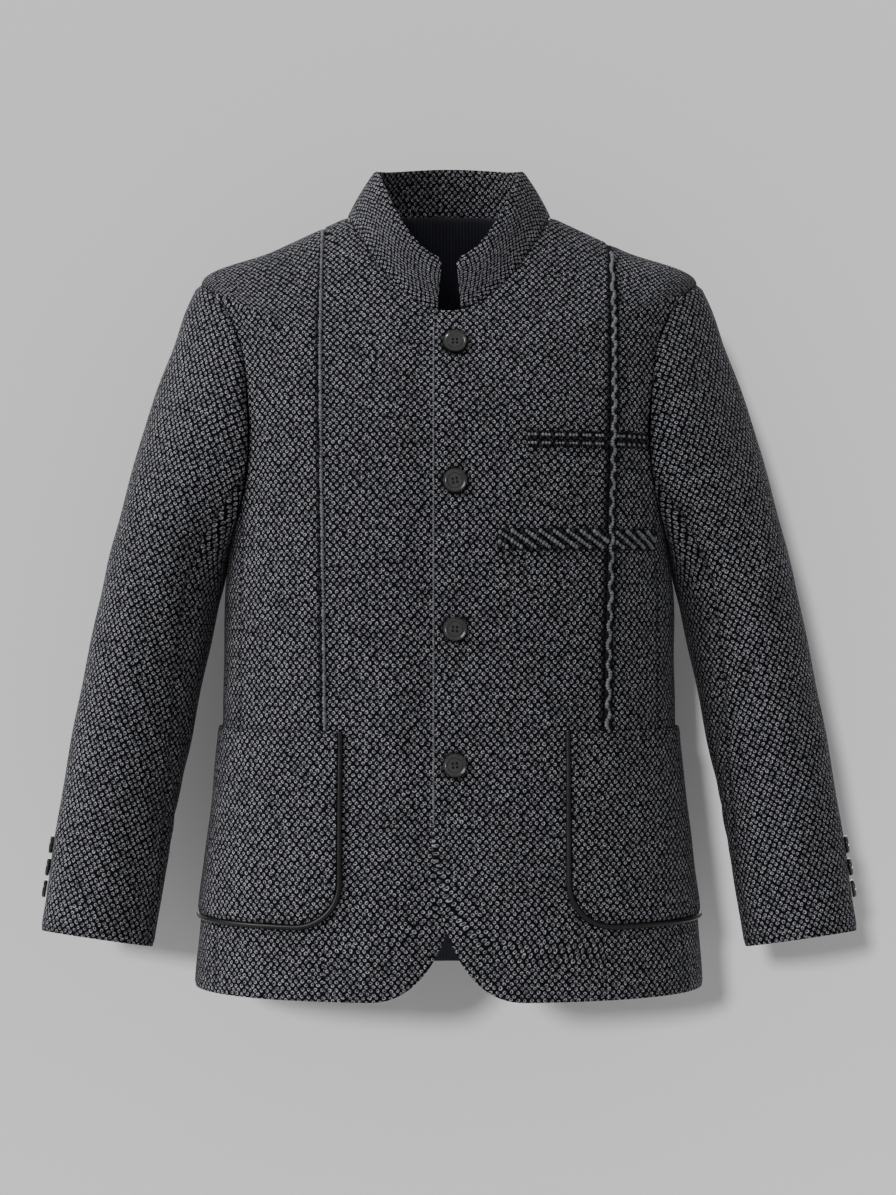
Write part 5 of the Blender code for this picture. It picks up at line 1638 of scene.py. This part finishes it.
def set_button(node, centre, normal, sizes, roll):
    """Places a button with its two loops of thread, turned a little, as sewn by hand."""
    radius, thick = sizes
    up = Vector(normal)
    turn = up.to_track_quat("Z", "Y").to_matrix().to_4x4() @ Matrix.Rotation(roll, 4, "Z")
    place = Matrix.Translation(Vector(centre)) @ turn
    build = bmesh.new()
    build.from_mesh(BUTTON_MESH)
    for side in (-HOLE_PLACE, HOLE_PLACE):
        thread = bmesh.ops.create_uvsphere(build, u_segments=10, v_segments=6, radius=0.5)
        shape = Matrix.Translation((side, 0.0, 0.62)) @ Matrix.Diagonal(
            (THREAD_WIDTH * 2, THREAD_LENGTH, 0.16, 1.0))
        bmesh.ops.transform(build, matrix=shape, verts=thread["verts"])
        for face in {face for vert in thread["verts"] for face in vert.link_faces}:
            face.material_index = 1
            face.smooth = True
    bmesh.ops.transform(build, matrix=place @ Matrix.Diagonal((radius, radius, thick, 1.0)),
                        verts=build.verts)
    mesh = finished_mesh(build, node + "_horn")
    mesh.materials.append(HORN)
    mesh.materials.append(BUTTON_THREAD)
    stand_for(add_object(node + "_horn", mesh), node)


for number, z in enumerate(FRONT_BUTTON_Z, start=1):
    height = float(height_at_z(0.0, z))
    angle = float(angle_at_x(FRONT_BUTTON_X, height))
    height = float(height_at_z(angle, z))
    centre = skin(np.array(angle), np.array(height), LAID_ON_GAP)
    set_button("front_button_" + str(number), centre.tolist(),
               surface_normal(angle, height).tolist(), FRONT_BUTTON, (number * 0.7) % 0.5 - 0.2)

for hand in ("left", "right"):
    for number, z in enumerate(CUFF_BUTTON_Z, start=1):
        level = z - float(SLEEVE_TABLE.at("half_across", z)) * CUFF_BUTTON_RISE
        turns = np.array([CUFF_BUTTON_TURN - 0.05, CUFF_BUTTON_TURN, CUFF_BUTTON_TURN + 0.05])
        behind, point, ahead = sleeve_ring(level, turns)
        normal = unit(np.cross(ahead - behind, sleeve_axis(z)))
        normal = normal * np.sign(normal[0])
        centre = point + normal * LAID_ON_GAP
        if hand == "right":
            centre = mirrored(centre)
            normal = mirrored(normal)
        set_button("cuff_button_" + hand + "_" + str(number), centre.tolist(), normal.tolist(),
                   CUFF_BUTTON, number * 0.4)
print("buttons set", len(FRONT_BUTTON_Z) + 2 * len(CUFF_BUTTON_Z))

# %% [markdown]
# ## Studio
# The jacket hangs in front of a plain grey wall over a pale floor that lies below the picture. The
# wall only shows its front, so that it never stands between the jacket and a camera behind it.

# %% Wall, floor and lights
WALL_Y = 0.165
WALL_HALF_WIDTH = 0.75
WALL_TOP = 0.45
FLOOR_Z = -1.08
FLOOR_RADIUS = 1.1
WALL_GREY = "#e4e4e4"
FLOOR_GREY = "#d0d0cf"
FLOOR_GLOW = 0.22


def wall_material():
    material, tree = new_material("grey_wall")
    side = add_node(tree, "ShaderNodeNewGeometry")
    paint = add_node(tree, "ShaderNodeBsdfDiffuse", {"Color": linear(WALL_GREY)})
    clear = add_node(tree, "ShaderNodeBsdfTransparent")
    shown = add_node(tree, "ShaderNodeMixShader", {0: side.outputs["Backfacing"], 1: paint, 2: clear})
    finish_material(tree, shown)
    return material


def floor_material():
    material, tree = new_material("pale_floor")
    paint = add_node(tree, "ShaderNodeBsdfDiffuse", {"Color": linear(FLOOR_GREY)})
    glow = add_node(tree, "ShaderNodeEmission", {"Strength": FLOOR_GLOW})
    both = add_node(tree, "ShaderNodeAddShader", {0: paint, 1: glow})
    finish_material(tree, both)
    return material


wall_mesh = bpy.data.meshes.new("wall")
wall_mesh.from_pydata([(-WALL_HALF_WIDTH, WALL_Y, FLOOR_Z), (WALL_HALF_WIDTH, WALL_Y, FLOOR_Z),
                       (WALL_HALF_WIDTH, WALL_Y, WALL_TOP), (-WALL_HALF_WIDTH, WALL_Y, WALL_TOP)],
                      [], [(0, 1, 2, 3)])
wall_mesh.materials.append(wall_material())
wall = add_object("wall", wall_mesh)

build = bmesh.new()
bmesh.ops.create_circle(build, cap_ends=True, segments=96, radius=FLOOR_RADIUS,
                        matrix=Matrix.Translation((0, 0, FLOOR_Z)))
floor_mesh = finished_mesh(build, "floor")
floor_mesh.materials.append(floor_material())
floor = add_object("floor", floor_mesh)

JACKET_MIDDLE = (0.0, 0.0, -0.36)
cloths = [thing for thing in bpy.context.scene.objects
          if thing.type == "MESH" and thing not in (wall, floor)]
# Name, place, energy, angular size in degrees and the objects it reaches; everything else still
# throws its shadow, except that the wall doesn't stop the light behind it
LIGHTS = (
    ("wall_sun", (-0.48, -2.0, 0.09), 2.06, 5, [wall, floor]),
    ("left_window", (-1.9, -0.68, 0.90), 2.15, 35, cloths),
    ("front_lamp", (-1.0, -2.0, 0.9), 0.36, 8, cloths),
    ("button_lamp", (1.9, -1.1, -0.2), 2.6, 14, [c for c in cloths if "_horn" in c.name]),
    ("back_fill", (0.0, 2.2, 0.2), 0.8, 30, cloths),
)
for name, place, energy, size, reached in LIGHTS:
    data = bpy.data.lights.new(name, "SUN")
    data.energy = energy
    data.angle = math.radians(size)
    light = add_object(name, data)
    light.location = place
    way = Vector(JACKET_MIDDLE) - Vector(place)
    light.rotation_euler = way.to_track_quat("-Z", "Y").to_euler()
    group = bpy.data.collections.new("lit_by_" + name)
    for thing in reached:
        group.objects.link(thing)
    light.light_linking.receiver_collection = group
    if name == "back_fill":
        light.light_linking.blocker_collection = group

world = bpy.data.worlds.new("even_sky")
world.use_nodes = True
sky = world.node_tree.nodes["Background"].inputs
sky["Color"].default_value = linear("#d6d6d6")
sky["Strength"].default_value = 0.60
bpy.context.scene.world = world
print("wall at", WALL_Y, "floor at", FLOOR_Z, "lights", len(LIGHTS))
